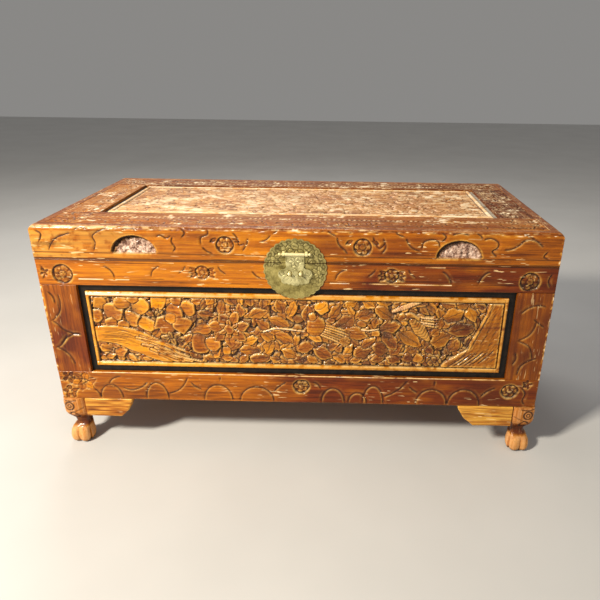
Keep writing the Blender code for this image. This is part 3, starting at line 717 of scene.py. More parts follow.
FRAME_X = wood("frame_wood_x", "x", *AMBER)
FRAME_Y = wood("frame_wood_y", "y", *AMBER)
FRAME_Z = wood("frame_wood_z", "z", *AMBER, dashes=0.35, redden=0.6)
PANEL_X = wood("panel_wood_x", "x", *GOLD, coat=0.35, rough=0.32, dashes=0.4, redden=0.30,
               dry_sheen_top=False)
PANEL_Y = wood("panel_wood_y", "y", *GOLD, coat=0.35, rough=0.32, dashes=0.4, redden=0.30,
               dry_sheen_top=False)
TOP_X = wood("top_wood_x", "x", *AMBER, coat=0.08, rough=0.42, gloss_level=0.15)
TOP_Y = wood("top_wood_y", "y", *AMBER, coat=0.08, rough=0.42, gloss_level=0.15)
TOP_PANEL = wood("top_panel_wood", "x", *AMBER, coat=0.10, rough=0.42, gloss_level=0.20,
                 aged=DRY_SHEEN_PANEL)
FOOT_X = wood("foot_wood_x", "x", *FOOT, redden=0.25, dry_sheen_top=False)
FOOT_Y = wood("foot_wood_y", "y", *FOOT, redden=0.25, dry_sheen_top=False)
LEG_Z = wood("foot_wood_z", "z", *PAW, dashes=0.2, redden=0.22, dry_sheen_top=False)
PLAIN_X = wood("plain_wood_x", "x", *CAMPHOR, carved=False, coat=0.05, rough=0.55)
PLAIN_Y = wood("plain_wood_y", "y", *CAMPHOR, carved=False, coat=0.05, rough=0.55)
PLAIN_Z = wood("plain_wood_z", "z", *CAMPHOR, carved=False, coat=0.05, rough=0.55)
BLACK = blackened("ebonised_wood")
BLACK_TOP = blackened("ebonised_wood_top", sheen=True)
LOCK = brass("lock_brass_engraved", (0.170, 0.132, 0.032), (0.500, 0.415, 0.140))
HASP = brass("lock_brass_handled", (0.250, 0.215, 0.075), (0.640, 0.580, 0.290), rough=0.36,
             metal=0.55)
KNOB = brass("lock_brass_rubbed", (0.64, 0.55, 0.24), (0.92, 0.84, 0.46), carved=False,
             rough=0.32, metal=0.35)
HINGE = brass("hinge_brass_aged", (0.16, 0.11, 0.035), (0.42, 0.32, 0.12), carved=False,
              rough=0.40)


# ---- front panel ------------------------------------------------------------------------
def border_beads(r, left, right, low, high):
    """Round mouldings round a panel's edge, with a fine cut inside them."""
    gaps = ((r.U - r.u[0], left), (r.u[-1] - r.U, right), (r.V - r.v[0], low),
            (r.v[-1] - r.V, high))
    inside = np.min([d - w for d, w in gaps], axis=0)
    cut = (inside > 0) & (inside < 1.3)
    r.h[cut] = np.minimum(r.h, r.ground - 0.3)[cut]
    profile = np.full_like(r.h, 1e9)
    for d, w in gaps:
        round_top = np.sqrt(np.clip(1 - ((d - w / 2) / (w / 2)) ** 2, 0, 1))
        profile = np.where(d < w, np.minimum(profile, -0.34 * w * (1 - round_top)), profile)
    body = inside <= 0
    r.h[body] = np.maximum(profile, -3.2)[body]
    # The beads are coloured pale, and a painted highlight runs along their crests, brightest toward
    # the left of the upper bead.
    r.tone[body] = 0.85
    r.glint_and_pale_wear[body] = 0.35
    glare = 0.55 + 0.45 * np.clip(0.4 - (r.U - r.u[0]) / (r.u[-1] - r.u[0]), 0, 0.4) / 0.4
    crest = np.clip(1 - np.abs(gaps[3][0] - 0.45 * high) / (0.40 * high), 0, 1) ** 0.5
    r.glint_and_pale_wear = np.maximum(r.glint_and_pale_wear, 2.0 * glare * crest * (gaps[3][0] < high))
    crest = np.clip(1 - np.abs(gaps[2][0] - 0.5 * low) / (0.25 * low), 0, 1) ** 0.5
    r.glint_and_pale_wear = np.maximum(r.glint_and_pale_wear, 0.9 * crest * (gaps[2][0] < low))
    r.line[body] = 0
    seam = np.exp(-((inside - 0.5) / 0.9) ** 2) * (inside > -0.4)
    r.line = np.maximum(r.line, 0.9 * seam)


def petals(r, spots, seed):
    """Round petals with a dished middle and a few veins."""
    rng = np.random.default_rng(seed)
    for u, v, radius in spots:
        turn = rng.uniform(0, 360)
        count = rng.integers(4, 6)
        corners = [turn + 360 * (k + rng.uniform(-0.2, 0.2)) / count for k in range(count)]
        ring = [toward(u, v, 1.25 * radius * rng.uniform(0.92, 1.12), a) for a in corners]
        outline = smooth_curve(ring + ring[:1], 5)
        top, lean = -1.4 - rng.uniform(0, 1.6), rng.uniform(0, 2 * math.pi)
        r.patch(outline[:-1], lambda p, q: top + 0.15 * ((p - u) * math.cos(lean)
                                                         + (q - v) * math.sin(lean))
                - 0.7 * np.exp(-((p - u) ** 2 + (q - v) ** 2) / (0.4 * radius) ** 2),
                edge=2.2, fall=1.5, tone=rng.uniform(0.45, 0.95))
        for k in range(4):
            a = turn + 72 * (k - 1) + rng.uniform(-12, 12)
            r.incise([toward(u, v, share * radius, a) for share in (0.3, 0.6, 1.0)], depth=0.9,
                     width=0.7, slope=2.0)


def leaves(r, spots, seed):
    """Pointed leaves: (u, v, length, width, turn)."""
    rng = np.random.default_rng(seed)
    for u, v, length, width, turn in spots:
        r.leaf(u, v, 1.13 * length, 1.18 * width, turn, top=-1.4 - rng.uniform(0, 1.6),
               tilt=rng.uniform(-1.9, 2.0), tone=rng.uniform(0.38, 0.88),
               cup=rng.choice((0.0, 1.0, 1.6)), roll=rng.uniform(-1.6, 1.6))


def front_panel():
    """Tree trunks at both ends, blossom and leaves between them, and two birds."""
    r = Relief(span("front_panel", "x"), span("front_panel", "z"), 1.1, level=-7.0)
    r.roughen(0.9, 3.0, 11)
    r.hand_cut(2.3, 7.5, 9)
    r.scatter(1500, (17, 27), 12, top=-2.9, share=0.50)
    r.scatter(1500, (10, 17), 13, top=-3.3, share=0.60)

    leaves(r, [(-353, 92, 18, 10, 20), (-360, 109, 22, 14, -30), (-334, 101, 24, 17, 15),
               (-312, 90, 18, 10, -40), (-203, 133, 20, 13, 60), (-180, 210, 22, 15, 20),
               (-133, 93, 22, 13, 0), (-153, 103, 30, 13, 50), (-117, 118, 34, 15, 28),
               (-165, 92, 20, 12, -20), (-100, 92, 20, 13, 40), (-84, 211, 20, 14, 90),
               (-60, 209, 20, 14, 75), (-103, 212, 20, 14, 85), (-40, 150, 26, 13, 170),
               (-20, 120, 24, 14, 40), (-40, 92, 22, 12, -10), (-13, 106, 28, 18, -30),
               (6, 92, 24, 13, 10), (33, 141, 28, 15, -25), (15, 146, 20, 11, 35),
               (30, 93, 22, 12, -20), (66, 121, 26, 14, 30), (80, 97, 24, 14, -35),
               (98, 118, 22, 13, 65), (110, 93, 22, 12, 10), (100, 211, 24, 16, 10),
               (132, 209, 24, 15, -20), (152, 98, 24, 15, 15), (181, 97, 24, 14, -20),
               (100, 194, 22, 12, 120), (145, 172, 20, 11, 80), (196, 178, 20, 11, 100),
               (234, 97, 18, 11, 40), (248, 118, 22, 14, -50), (213, 117, 24, 15, 30),
               (240, 134, 22, 13, 70), (276, 211, 26, 16, -15), (304, 212, 26, 15, 10),
               (332, 211, 20, 14, -30), (246, 205, 28, 14, -40), (262, 192, 22, 12, -70),
               (318, 139, 20, 12, 70), (300, 108, 20, 11, -60), (225, 213, 22, 12, 0),
               (330, 178, 22, 13, 100), (160, 212, 24, 14, -10), (188, 213, 22, 12, 15)], 50)
    petals(r, [(-370, 178, 11), (-361, 203, 13), (-337, 185, 14.5), (-318, 204, 12),
               (-303, 172, 14), (-287, 196, 14.5), (-278, 162, 14), (-343, 161, 10),
               (-252, 208, 14), (-245, 159, 15), (-223, 188, 14), (-210, 160, 15),
               (-197, 194, 12), (-217, 211, 10), (-321, 158, 9), (-297, 212, 9),
               (-232, 174, 9)], 51)
    r.flower(-257, 187, 9.5, 6, 10, top=-0.9, heart=0.3, tone=0.3)
    leaves(r, [(-262, 142, 22, 13, 60), (-167, 184, 28, 15, -5), (-174, 153, 46, 18, 14),
               (-137, 197, 30, 15, 88), (-157, 212, 20, 17, 60), (-118, 211, 22, 16, 120),
               (-103, 192, 26, 15, 100), (-70, 187, 36, 17, 18), (-62, 163, 28, 17, 140),
               (-33, 171, 38, 19, -22), (-88, 130, 28, 15, 30), (-54, 139, 28, 15, -40),
               (-22, 138, 34, 19, -28), (-87, 110, 36, 18, -4), (-52, 117, 28, 17, 60),
               (-70, 94, 36, 17, 5), (-7, 197, 28, 17, 70), (-30, 203, 26, 16, 110),
               (20, 188, 36, 17, 80), (47, 201, 26, 22, 30), (72, 194, 32, 17, 52),
               (17, 118, 28, 21, 10), (50, 107, 36, 21, -26), (123, 111, 32, 24, 15),
               (133, 131, 28, 17, 40), (157, 119, 30, 25, -20), (185, 117, 28, 17, 50),
               (91, 172, 40, 23, 44), (109, 150, 42, 24, -8), (127, 187, 28, 20, 25),
               (161, 191, 36, 21, -34), (171, 161, 38, 21, 26), (174, 135, 38, 21, -52),
               (210, 141, 44, 25, -34), (287, 190, 38, 25, 22), (319, 192, 28, 18, -62),
               (303, 161, 46, 25, 9), (264, 173, 22, 11, 72), (267, 141, 34, 28, 25),
               (292, 129, 28, 19, 62), (257, 157, 20, 12, 30)], 52)
    petals(r, [(-180, 121, 16), (-157, 123, 12), (-133, 108, 8), (207, 100, 9.5),
               (227, 102, 9), (90, 133, 9), (196, 205, 8), (146, 150, 7)], 53)
    for k, (du, dv, turn) in enumerate([(-14, 4, 170), (-4, 8, 110), (8, 7, 60), (15, 0, 0),
                                        (0, -6, -80)]):
        r.leaf(-231 + du, 131 + dv, 17, 11, turn, top=-1.2 - 0.2 * (k % 2), tone=0.05)

    # the left trunk, its roots spreading over the leaves
    r.strip([(-380, 139), (-335, 138), (-292, 122), (-258, 104), (-226, 88), (-200, 78)],
            (31, 37, 45, 43, 30, 16), top=-0.5, streaks=0.3, tone=0.82, seed=30, round_off=1.0)
    rng = np.random.default_rng(31)
    for k in range(15):
        v = 124 + 1.9 * k + rng.uniform(-1, 1)
        start = rng.uniform(-376, -350)
        end = start + rng.uniform(40, 76)
        drop = 0.22 * max(end + 335, 0)
        r.incise([(start, v), ((start + end) / 2, v + rng.uniform(-1.5, 1)), (end, v - drop)],
                 depth=rng.uniform(0.6, 1.4), width=0.8, slope=2.0)
    for k in range(8):
        a, b, c = rng.uniform(-2.4, 2.4, 3)
        r.strip([(-296 + 5 * k + 4 * c, 138 - 5.6 * k + a), (-250 + 3 * k, 123 - 5.6 * k + b),
                 (-200 + k + 9 * c, 99 - 3.6 * k + a)],
                (rng.uniform(2.5, 7), rng.uniform(4, 7.5), 2), top=-0.2 - rng.uniform(0, 0.8),
                streaks=0.9, tone=rng.uniform(0.35, 0.8), seed=20 + k, moat=0.9,
                pale=0.5 * (k % 3 == 0))

    # the right trunk fills its corner, its bark in long diagonal strips
    slant = ((74, 93, 123, 160, 193, 226), (262, 278, 318, 332, 345, 351))
    inside = r.U - np.interp(r.V, *slant) - 2.4 * (value_noise(r.U * 0, r.V, 7, 40) - 0.5)
    across = inside + 0.12 * r.V
    strips = np.sin(across / 2.1 + 3.0 * value_noise(r.U, r.V, 26, 42))
    bark = value_noise(r.U - 0.7 * r.V, 0.25 * (r.U + r.V), 2.6, 43)
    surface = -0.4 - 0.5 * np.clip(strips, 0, 1) - 0.9 * np.clip((bark - 0.45) * 2, 0, 1)
    r.lay((slice(None), slice(None)), inside, surface, edge=3, fall=2.0, moat=2.5, tone=0.85)
    # Painted highlights within the trunk's edge, between its bark strips.
    r.glint_and_pale_wear[(inside > 0.5) & (inside < 9) & (strips < 0.2)] = 0.55
    for k in range(6):
        r.incise([(283 + 11 * k, 83 + 1.5 * k), (300 + 11 * k, 96 + 2 * k),
                  (318 + 10 * k, 112 + 2 * k)], depth=2.2, width=1.0, slope=3.4)
    for k in range(9):
        z = 118 + 12 * k
        x = float(np.interp(z, *slant))
        r.incise([(x + 1, z - 9), (x + 6, z), (x + 10, z + 12)], depth=1.6, width=0.9,
                 slope=2.4)

    # big blossom
    heart = (-125, 154)
    for k in range(7):
        a = 360 * k / 7 + 14
        r.leaf(*toward(*heart, 24, a), 28, 21, a, top=-0.9 - 0.4 * (k % 2), tilt=0.8,
               tone=0.38 + 0.18 * (k % 2), cup=0.9)
    r.flower(*heart, 19, 6, 30, top=-0.4, heart=0.45, tone=0.42)
    for k in range(6):
        r.incise([toward(*heart, reach, 60 * k + 30) for reach in (8, 13, 18)], depth=1.0,
                 width=0.8, slope=2.0)

    # perched bird: scaled breast and long feathers
    for k in range(6):
        r.strip([(44, 168 - 4.4 * k), (68, 162 - 5.2 * k), (98, 152 - 6.2 * k)],
                (4.6, rng.uniform(3.4, 5.2), 1.8), top=-0.8 - 0.5 * rng.random(), bars=0.5,
                pitch=5, tone=rng.uniform(0.25, 0.6), seed=60 + k, moat=0.8,
                pale=1.1 * (k % 2) * rng.random())
    r.disc(36, 163, 21, squash=0.8, turn=60, top=-0.3, dome=1.8, tone=0.4)
    for row in range(5):
        for k in range(5):
            a, b = 26 + 5.4 * k + 2.7 * (row % 2), 150 + 6 * row
            if math.hypot((a - 36) / 15, (b - 163) / 17) < 1:
                r.incise([(a - 2.6, b + 1.8), (a, b - 1.2), (a + 2.6, b + 1.8)], depth=0.9,
                         width=0.7, slope=1.8)
    r.disc(29, 182, 7.5, top=-0.3, dome=1.0, dish=0.3, tone=0.5)

    # flying bird: plume, barred wing, pale tail
    r.strip([(176, 196), (196, 204), (214, 212), (230, 217)], (6, 11, 9, 4), top=-0.7,
            streaks=1.0, bars=1.1, pitch=4.5, tone=0.55, seed=70, pale=1.15)
    for k in range(4):
        r.strip([(216, 186 - 4.4 * k), (236, 184 - 5 * k), (260, 182 - 5.6 * k)], (4.2, 4.6, 2),
                top=-0.8, bars=0.8, pitch=4.5, tone=0.7 - 0.3 * (k % 2), seed=72 + k, moat=0.8,
                pale=1.25 - 0.3 * (k % 2))
    r.strip([(190, 182), (206, 186), (222, 182)], (9, 17, 9), top=-0.4, tone=0.45, seed=78)
    r.disc(192, 186, 7, top=-0.4, dome=0.9, dish=0.4, tone=0.5)
    r.strip([(212, 178), (226, 161), (243, 141)], (13, 24, 11), top=-0.5, bars=1.4, pitch=6,
            tone=0.4, seed=79, pale=0.75)

    # rose at the foot of the right trunk
    for k in range(6):
        r.disc(*toward(257, 97, 9, 60 * k, squash=7 / 9), 7.5, squash=0.8, turn=60 * k,
               top=-1.0, dish=0.8, tone=0.3)
    r.disc(257, 98, 6, top=-0.5, dome=1.0, dish=1.2, tone=0.3)
    r.strip([(120, 158), (136, 157), (152, 160)], (3.5, 3, 2), top=-1.2, tone=0.9, seed=80,
            pale=1.5)
    r.strip([(-62, 150), (-40, 157), (-16, 156), (16, 152)], (3, 3.5, 3.5, 2), top=-1.4,
            tone=0.85, seed=81, pale=1.5)
    # Painted shade: the panel darker toward its right end.
    r.darken(0.55 * eased(r.U, 20, 300), 15)
    border_beads(r, 6, 6, 9, 9.5)
    r.roughen(0.16, 5, 14)
    return r


def garden(u_span, v_span, step, seed, blossoms, trunk, ground=-6.0, beads=(6, 6, 7, 7)):
    """A carved panel: blossoms, larger leaves round them, and small leaves between."""
    r = Relief(u_span, v_span, step, level=ground, ground=ground)
    rng = np.random.default_rng(seed)
    tries = int((u_span[1] - u_span[0]) * (v_span[1] - v_span[0]) / 110)
    r.roughen(0.8, 3.0, seed + 1)
    r.hand_cut(2.3, 8, seed + 8)
    r.scatter(tries, (20, 30), seed + 2, top=ground * 0.5, share=0.5)
    r.scatter(tries, (12, 20), seed + 3, top=ground * 0.5, share=0.5)
    r.scatter(tries, (32, 50), seed + 4, top=-1.4, share=0.35)
    r.strip(trunk, (34, 28, 20, 10), top=-0.7, streaks=1.0, tone=0.8, seed=seed + 5)
    for u, v, radius in blossoms:
        for k in range(9):
            a = 40 * k + rng.uniform(-12, 12)
            r.leaf(*toward(u, v, radius * rng.uniform(1.35, 1.75), a),
                   radius * rng.uniform(0.9, 1.25), radius * rng.uniform(0.5, 0.65), a,
                   top=-1.2 - rng.uniform(0, 0.8), tone=rng.uniform(0.3, 0.75))
        for k in range(7):
            a = 360 * k / 7 + 14
            r.leaf(*toward(u, v, radius * 0.66, a), radius * 0.8, radius * 0.55, a,
                   top=-0.9 - 0.3 * (k % 2))
        r.flower(u, v, radius * 0.5, 6, 30, top=-0.4, heart=0.45)
    border_beads(r, *beads)
    r.roughen(0.16, 5, seed + 6)
    return r


# ---- incised frame members ----------------------------------------------------------------
def lobe(r, u0, u1, height, base):
    """A round-topped cloud standing on a line."""
    middle, half = (u0 + u1) / 2, (u1 - u0) / 2
    r.incise([(middle + half * math.cos(a), base + height * math.sin(a))
              for a in np.linspace(math.pi, 0, 9)], depth=2.0, width=1.4, slope=7)


def spray(r, u, v, size, turn, count):
    """A tuft of small leaves, sunk in the frame."""
    for k in range(count):
        a = turn + 360 * k / count
        r.leaf(*toward(u, v, size * 0.62, a), size * 0.9, size * 0.5, a, top=-1.0, tone=0.35)


def spiky_rosette(r, u, v):
    """The flower on the upper rail, with sharp leaves to both sides."""
    for side in (-1, 1):
        for dv, turn, length in ((5, 28, 17), (0, 0, 20), (-5, -28, 17)):
            angle = turn if side > 0 else 180 - turn
            r.leaf(u + side * 14, v + dv, length, 6.5, angle, top=-1.3, tone=0.35)
    r.rosette(u, v, 12, 6, 15, pocket=2.2, tone=0.35)
    for side in (-1, 1):
        r.incise([(u + side * 28, v + 14), (u + side * 31, v + 7), (u + side * 37, v + 1),
                  (u + side * 44, v - 3)], depth=1.8, width=1.2, slope=5, side=side)


def seam_shade(r, at):
    """The dark line of the joint between lid and body, at a height."""
    gap = np.abs(r.V - at)
    reach = 2.4 + 1.7 * value_noise(r.U / 3, r.V, 9, 340)
    r.keep = np.clip((gap - 2.6) / 1.5, 0, 1)
    r.line = np.maximum(r.line, np.clip(reach - gap, 0, 1))


def front_bottom_rail():
    """Rosettes, clouds standing on the lower edge, and swags over them."""
    r = Relief(WALL, span("front_bottom_rail", "z"), 1.4, ease=1.6)
    for a, b, height in ((-436, -385, 27), (-385, -341, 32), (-295, -251, 38), (-182, -126, 36),
                         (-112, -46, 33), (46, 91, 33), (98, 134, 24), (126, 166, 40),
                         (229, 289, 35), (290, 352, 36)):
        lobe(r, a, b, height, 0)
    for points in ([(-341, 26), (-322, 21), (-303, 27), (-288, 40)],
                   [(-252, 14), (-235, 20), (-221, 32), (-210, 52)],
                   [(-207, 42), (-197, 31), (-184, 24)], [(-46, 22), (-37, 33), (-20, 46)],
                   [(28, 46), (38, 42), (46, 30)], [(166, 16), (182, 24), (198, 36), (212, 54)],
                   [(213, 42), (222, 33), (232, 26)], [(352, 20), (366, 34), (382, 42)],
                   [(-150, 44), (-148, 50), (-149, 56)], [(262, 41), (263, 50), (262, 56)],
                   [(428, 44), (437, 30), (434, 14), (440, 4)],
                   [(-366, 33), (-356, 45), (-338, 52)]):
        r.incise(points, depth=2.0)
    r.hand_cut(1.4, 6, 105)
    for u, v, size, turn in ((-444, 14, 15, 20), (-440, 46, 14, 60), (438, 50, 9, 10)):
        spray(r, u, v, size, turn, 5)
    for k in range(6):
        a = 60 * k + 12
        r.leaf(*toward(-414, 38, 14, a, squash=11 / 14), 21, 15, a, top=-0.6 - 0.5 * (k % 2),
               tone=0.45 + 0.3 * (k % 2), cup=0.8)
    r.flower(-414, 38, 8, 5, 10, top=-0.3, heart=0.4, tone=0.4)
    r.rosette(407, 35, 14.5, 6, 20)
    r.rosette(8, 36, 14, 5, 0)
    r.incise([(-460, 57.2), (-150, 57.4), (150, 57.2), (460, 57.4)], depth=0.5, width=0.8,
             slope=1.5)
    r.roughen(0.22, 9, 101)
    r.soften_border(1.6)
    rubbed = np.clip(1 - np.abs(r.v[-1] - 0.9 - r.V) / 1.5, 0, 1) * (np.abs(r.U) < 394)
    r.glint_and_pale_wear = np.maximum(r.glint_and_pale_wear, rubbed * (1.2 + 0.9 * value_noise(r.U, r.V, 22, 104)))
    r.keep[(np.abs(r.U) > 394) & (r.V > r.v[-1] - 3.5)] = 0
    # Painted shade: darker toward the right half, and a little all along.
    r.darken(0.12 + 0.90 * eased(r.U, -130, 60), 106)
    return r


def front_top_rail():
    """Two spiky flowers, corner rosettes and short brackets between fine lines."""
    r = Relief(WALL, span("front_top_rail", "z"), 1.4, ease=1.6)
    for z, a, b in ((252, -392, -232), (252, 20, 390), (281, -388, -216), (246, -210, -80),
                    (281, 214, 388)):
        r.incise([(a, z), ((a + b) / 2, z + 0.6), (b, z)], depth=0.9, width=0.9, slope=1.8)
    for points in ([(-341, 276), (-331, 270), (-325, 262), (-322, 252)],
                   [(-257, 255), (-254, 266), (-247, 273), (-238, 277)],
                   [(-78, 272), (-70, 262), (-60, 256)], [(70, 255), (75, 267), (84, 274), (94, 277)],
                   [(256, 277), (265, 271), (272, 262), (276, 251)],
                   [(322, 252), (328, 265), (335, 273), (344, 277)],
                   [(-452, 276), (-447, 262), (-452, 248)], [(450, 276), (445, 262), (450, 248)]):
        r.incise(points, depth=2.0)
    spiky_rosette(r, -165, 266)
    spiky_rosette(r, 170, 266)
    r.rosette(-415, 259, 17, 5, 30)
    r.rosette(413, 259, 16, 5, 0)
    spray(r, -447, 262, 8, 30, 4)
    r.roughen(0.22, 9, 102)
    r.soften_border(1.0)
    # Painted highlights: pale glints along the lips of the fine lines.
    for a, b, z in ((-388, -342, 250.4), (-322, -296, 250.4), (118, 276, 250.4), (60, 96, 250.4),
                    (-232, -214, 283.0), (228, 262, 283.0)):
        lip = np.exp(-((r.V - z) / 0.9) ** 2) * (r.U > a) * (r.U < b)
        r.glint_and_pale_wear = np.maximum(r.glint_and_pale_wear, lip * (0.9 + 1.3 * value_noise(r.U / 3, r.V, 7, 108)))
    seam_shade(r, r.v[-1])
    r.keep[(np.abs(r.U) > 394) & (r.V < r.v[0] + 3.5)] = 0
    # Painted shade: darker toward the right.
    r.darken(0.85 * eased(r.U, -60, 150), 107)
    return r


def quiet_ends(r):
    """No pale wear where a stile meets the rails."""
    r.keep = np.clip((np.minimum(r.V - r.v[0], r.v[-1] - r.V) - 1.5) / 2, 0, 1)


def front_stile(side):
    """Crossing waves down a corner stile."""
    r = Relief((-STILE, 0) if side < 0 else (0, STILE), span("front_left_stile", "z"), 1.4,
               ease=1.6)
    if side < 0:
        waves = ([(-58, 166), (-49, 172), (-38, 186), (-34, 204), (-36, 222)],
                 [(-57, 168), (-48, 160), (-37, 148), (-20, 140), (-5, 138)],
                 [(-60, 110), (-48, 116), (-38, 128), (-33, 138)],
                 [(-58, 112), (-44, 104), (-34, 92), (-28, 74)],
                 [(-47, 118), (-34, 132), (-20, 139), (-6, 140)],
                 [(-54, 226), (-46, 214), (-44, 200)])
        shaded, salt = 0.40 + 0.60 * eased(-r.V, -230, -110), 0
    else:
        waves = ([(12, 142), (30, 153), (38, 166), (42, 184)],
                 [(12, 143), (32, 134), (40, 122), (44, 104)],
                 [(20, 68), (24, 86), (34, 98), (54, 108)],
                 [(34, 188), (44, 180), (58, 170)], [(10, 196), (22, 208), (38, 214), (56, 212)],
                 [(8, 90), (14, 104), (12, 120)])
        shaded, salt = 0.42, 7
    for points in waves:
        r.incise(points, slope=7)
    r.darken(shaded, 108 if side < 0 else 109)
    r.roughen(0.22, 9, 103 + salt)
    r.soften_border(0.5)
    quiet_ends(r)
    r.wear_end(side, 110 + salt)
    return r


def finish_side_rail(r, seed):
    """The corner rosettes and edges that an end wall's rails share."""
    for u in (r.u[0] + 22, r.u[-1] - 22):
        r.rosette(u, (r.v[0] + r.v[-1]) / 2, 14, 6, 20)
    r.roughen(0.22, 9, seed)
    r.soften_border(1.6)
    return r


def side_rail(u_span, v_span, seed):
    """The bottom rail of an end wall, with clouds as on the front's."""
    r = Relief(u_span, v_span, 1.6, ease=1.6)
    low, high = v_span
    middle = (u_span[0] + u_span[1]) / 2
    rng = np.random.default_rng(seed)
    u = u_span[0] + 34
    while u < u_span[1] - 80:
        wide = rng.uniform(44, 60)
        if abs(u + wide / 2 - middle) > 36:
            lobe(r, u, u + wide, rng.uniform(28, 38), low)
            r.incise([(u + wide, low + 14), (u + wide + 8, low + 24), (u + wide + 16, low + 44)])
        u += wide + rng.uniform(14, 22)
    r.rosette(middle, (low + high) / 2, 14, 5)
    return finish_side_rail(r, seed)


def quiet_side_rail(u_span, v_span, seed):
    """The top rail of an end wall, with two spiky flowers as on the front's."""
    r = Relief(u_span, v_span, 1.6, ease=1.6)
    low, high = v_span
    middle = (u_span[0] + u_span[1]) / 2
    for side in (-1, 1):
        spiky_rosette(r, middle + side * 85, (low + high) / 2 + 2)
    for side in (-1, 1):
        r.incise([(middle + side * 14, high - 8), (middle + side * 22, high - 16),
                  (middle + side * 26, low + 12)], side=side)
    return finish_side_rail(r, seed)


def side_stile(u_span, v_span, seed):
    """A stile of an end wall."""
    r = Relief(u_span, v_span, 1.6, ease=1.6)
    u0, u1 = u_span
    low, high = v_span
    for k in range(3):
        z = low + 18 + 56 * k
        r.incise([(u0 + 6, z), (u0 + 16, z + 12), (u0 + 22, z + 30)])
        r.incise([(u0 + 7, z + 2), (u0 + 22, z - 6), (u1 - 6, z - 4)])
    r.roughen(0.22, 9, seed)
    r.soften_border(0.5)
    quiet_ends(r)
    return r


def side_panel(node, seed):
    """The garden of an end wall, a trunk leaning in from its front or back edge."""
    u_span, (foot, head) = span(node, "y"), span(node, "z")
    start, middle = u_span[0], (u_span[0] + u_span[1]) / 2
    trunk = [(start + 4, head - 62), (start + 52, head - 78), (start + 96, head - 112),
             (start + 128, foot + 12)]
    blossoms = [(middle + 8, (foot + head) / 2 + 12, 25), (middle + 92, foot + 50, 19),
                (middle - 76, head - 34, 17)]
    return garden(u_span, (foot, head), 1.25, seed, blossoms, trunk)


# ---- carcass ------------------------------------------------------------------------------
def face_front(depth0=0.0, shift=0.0):
    """Places a front board's grid: u along the wall, v up from the carcass's underside."""
    def place(u, v, depth):
        return np.stack(np.broadcast_arrays(u + shift, FRONT + depth0 + depth, UNDERSIDE + v), -1)
    return place


def face_end(sign, depth0=0.0):
    """The same for an end wall, u being world Y."""
    def place(u, v, depth):
        return np.stack(np.broadcast_arrays(sign * (SIDE - depth0 - depth), u, UNDERSIDE + v),
                        -1)
    return place


def flat_back(r, thick):
    """The unseen corners of a board of even thickness, given in metres."""
    return [(r.v[-1] * MM, thick), (r.v[0] * MM, thick)]


def wall_piece(node, r, place, thick, finish, back_finish, slot):
    """One carved board of a wall in place of its plain CAD board."""
    piece = board_mesh(node + "_carved", r, place, flat_back(r, thick), finish, back_finish)
    return settle(piece, "body", slot, node)


wall_piece("front_bottom_rail", front_bottom_rail(), face_front(), THICK, FRAME_X, PLAIN_X,
           "frame_wood")
wall_piece("front_top_rail", front_top_rail(), face_front(), THICK, FRAME_X, PLAIN_X,
           "frame_wood")
wall_piece("front_left_stile", front_stile(-1), face_front(shift=-SIDE + STILE * MM), THICK,
           FRAME_Z, PLAIN_Z, "frame_wood")
wall_piece("front_right_stile", front_stile(1), face_front(shift=SIDE - STILE * MM), THICK,
           FRAME_Z, PLAIN_Z, "frame_wood")
wall_piece("front_panel", front_panel(), face_front(PANEL_IN), THICK - PANEL_IN, PANEL_X,
           PLAIN_X, "panel_wood")

for end, sign in (("left", -1), ("right", 1)):
    salt = 200 if sign < 0 else 260
    for part, carve, finish, seed in (("bottom_rail", side_rail, FRAME_Y, salt + 1),
                                      ("top_rail", quiet_side_rail, FRAME_Y, salt + 2),
                                      ("front_stile", side_stile, FRAME_Z, salt + 3),
                                      ("rear_stile", side_stile, FRAME_Z, salt + 4)):
        node = f"{end}_{part}"
        wall_piece(node, carve(span(node, "y"), span(node, "z"), seed), face_end(sign), THICK,
                   finish, PLAIN_Y if finish is FRAME_Y else PLAIN_Z, "frame_wood")
    wall_piece(f"{end}_panel", side_panel(f"{end}_panel", salt + 10), face_end(sign, PANEL_IN),
               THICK - PANEL_IN, PANEL_Y, PLAIN_Y, "panel_wood")


# ---- lid ------------------------------------------------------------------------------------
ROUND = 8.0                      # radius of the lid's upper edge, as the frame's rails have it
LID_FOOT = mm(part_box("lid_front_rail")[0][2] - UNDERSIDE)
LID_HEAD = mm(TOP - UNDERSIDE)
BEND = LID_HEAD - ROUND
BEND_END = BEND + ROUND * math.pi / 2
LID_END = BEND_END + mm(THICK) - ROUND
HIDDEN = 1.0                     # added to v, in metres, to place a rail's hidden corner


def wrapped(outward, face, across):
    """Places a lid rail's grid: up its outer face, round the edge and a little way inward.

    outward is the face's direction along the across axis, and face its place on that axis.
    """
    def place(u, v, depth):
        u, v, depth = np.broadcast_arrays(u, v, depth)
        rise, turn = BEND * MM, ROUND * MM
        angle = np.clip((v - rise) / turn, 0, math.pi / 2)
        past = np.maximum(v - BEND_END * MM, 0)
        out = (turn - depth) * np.cos(angle) - turn - past
        up = np.minimum(v, rise) + (turn - depth) * np.sin(angle)
        corner = v > HIDDEN
        out = np.where(corner, HIDDEN - v, out)
        up = np.where(corner, depth, up)
        side = face + outward * out
        parts = (u, side, UNDERSIDE + up) if across == "y" else (side, u, UNDERSIDE + up)
        return np.stack(parts, -1)
    return place


def lid_back_corner():
    """The hidden lower corner of a lid rail, as wrapped() places it."""
    return [(HIDDEN + THICK, LID_FOOT * MM)]


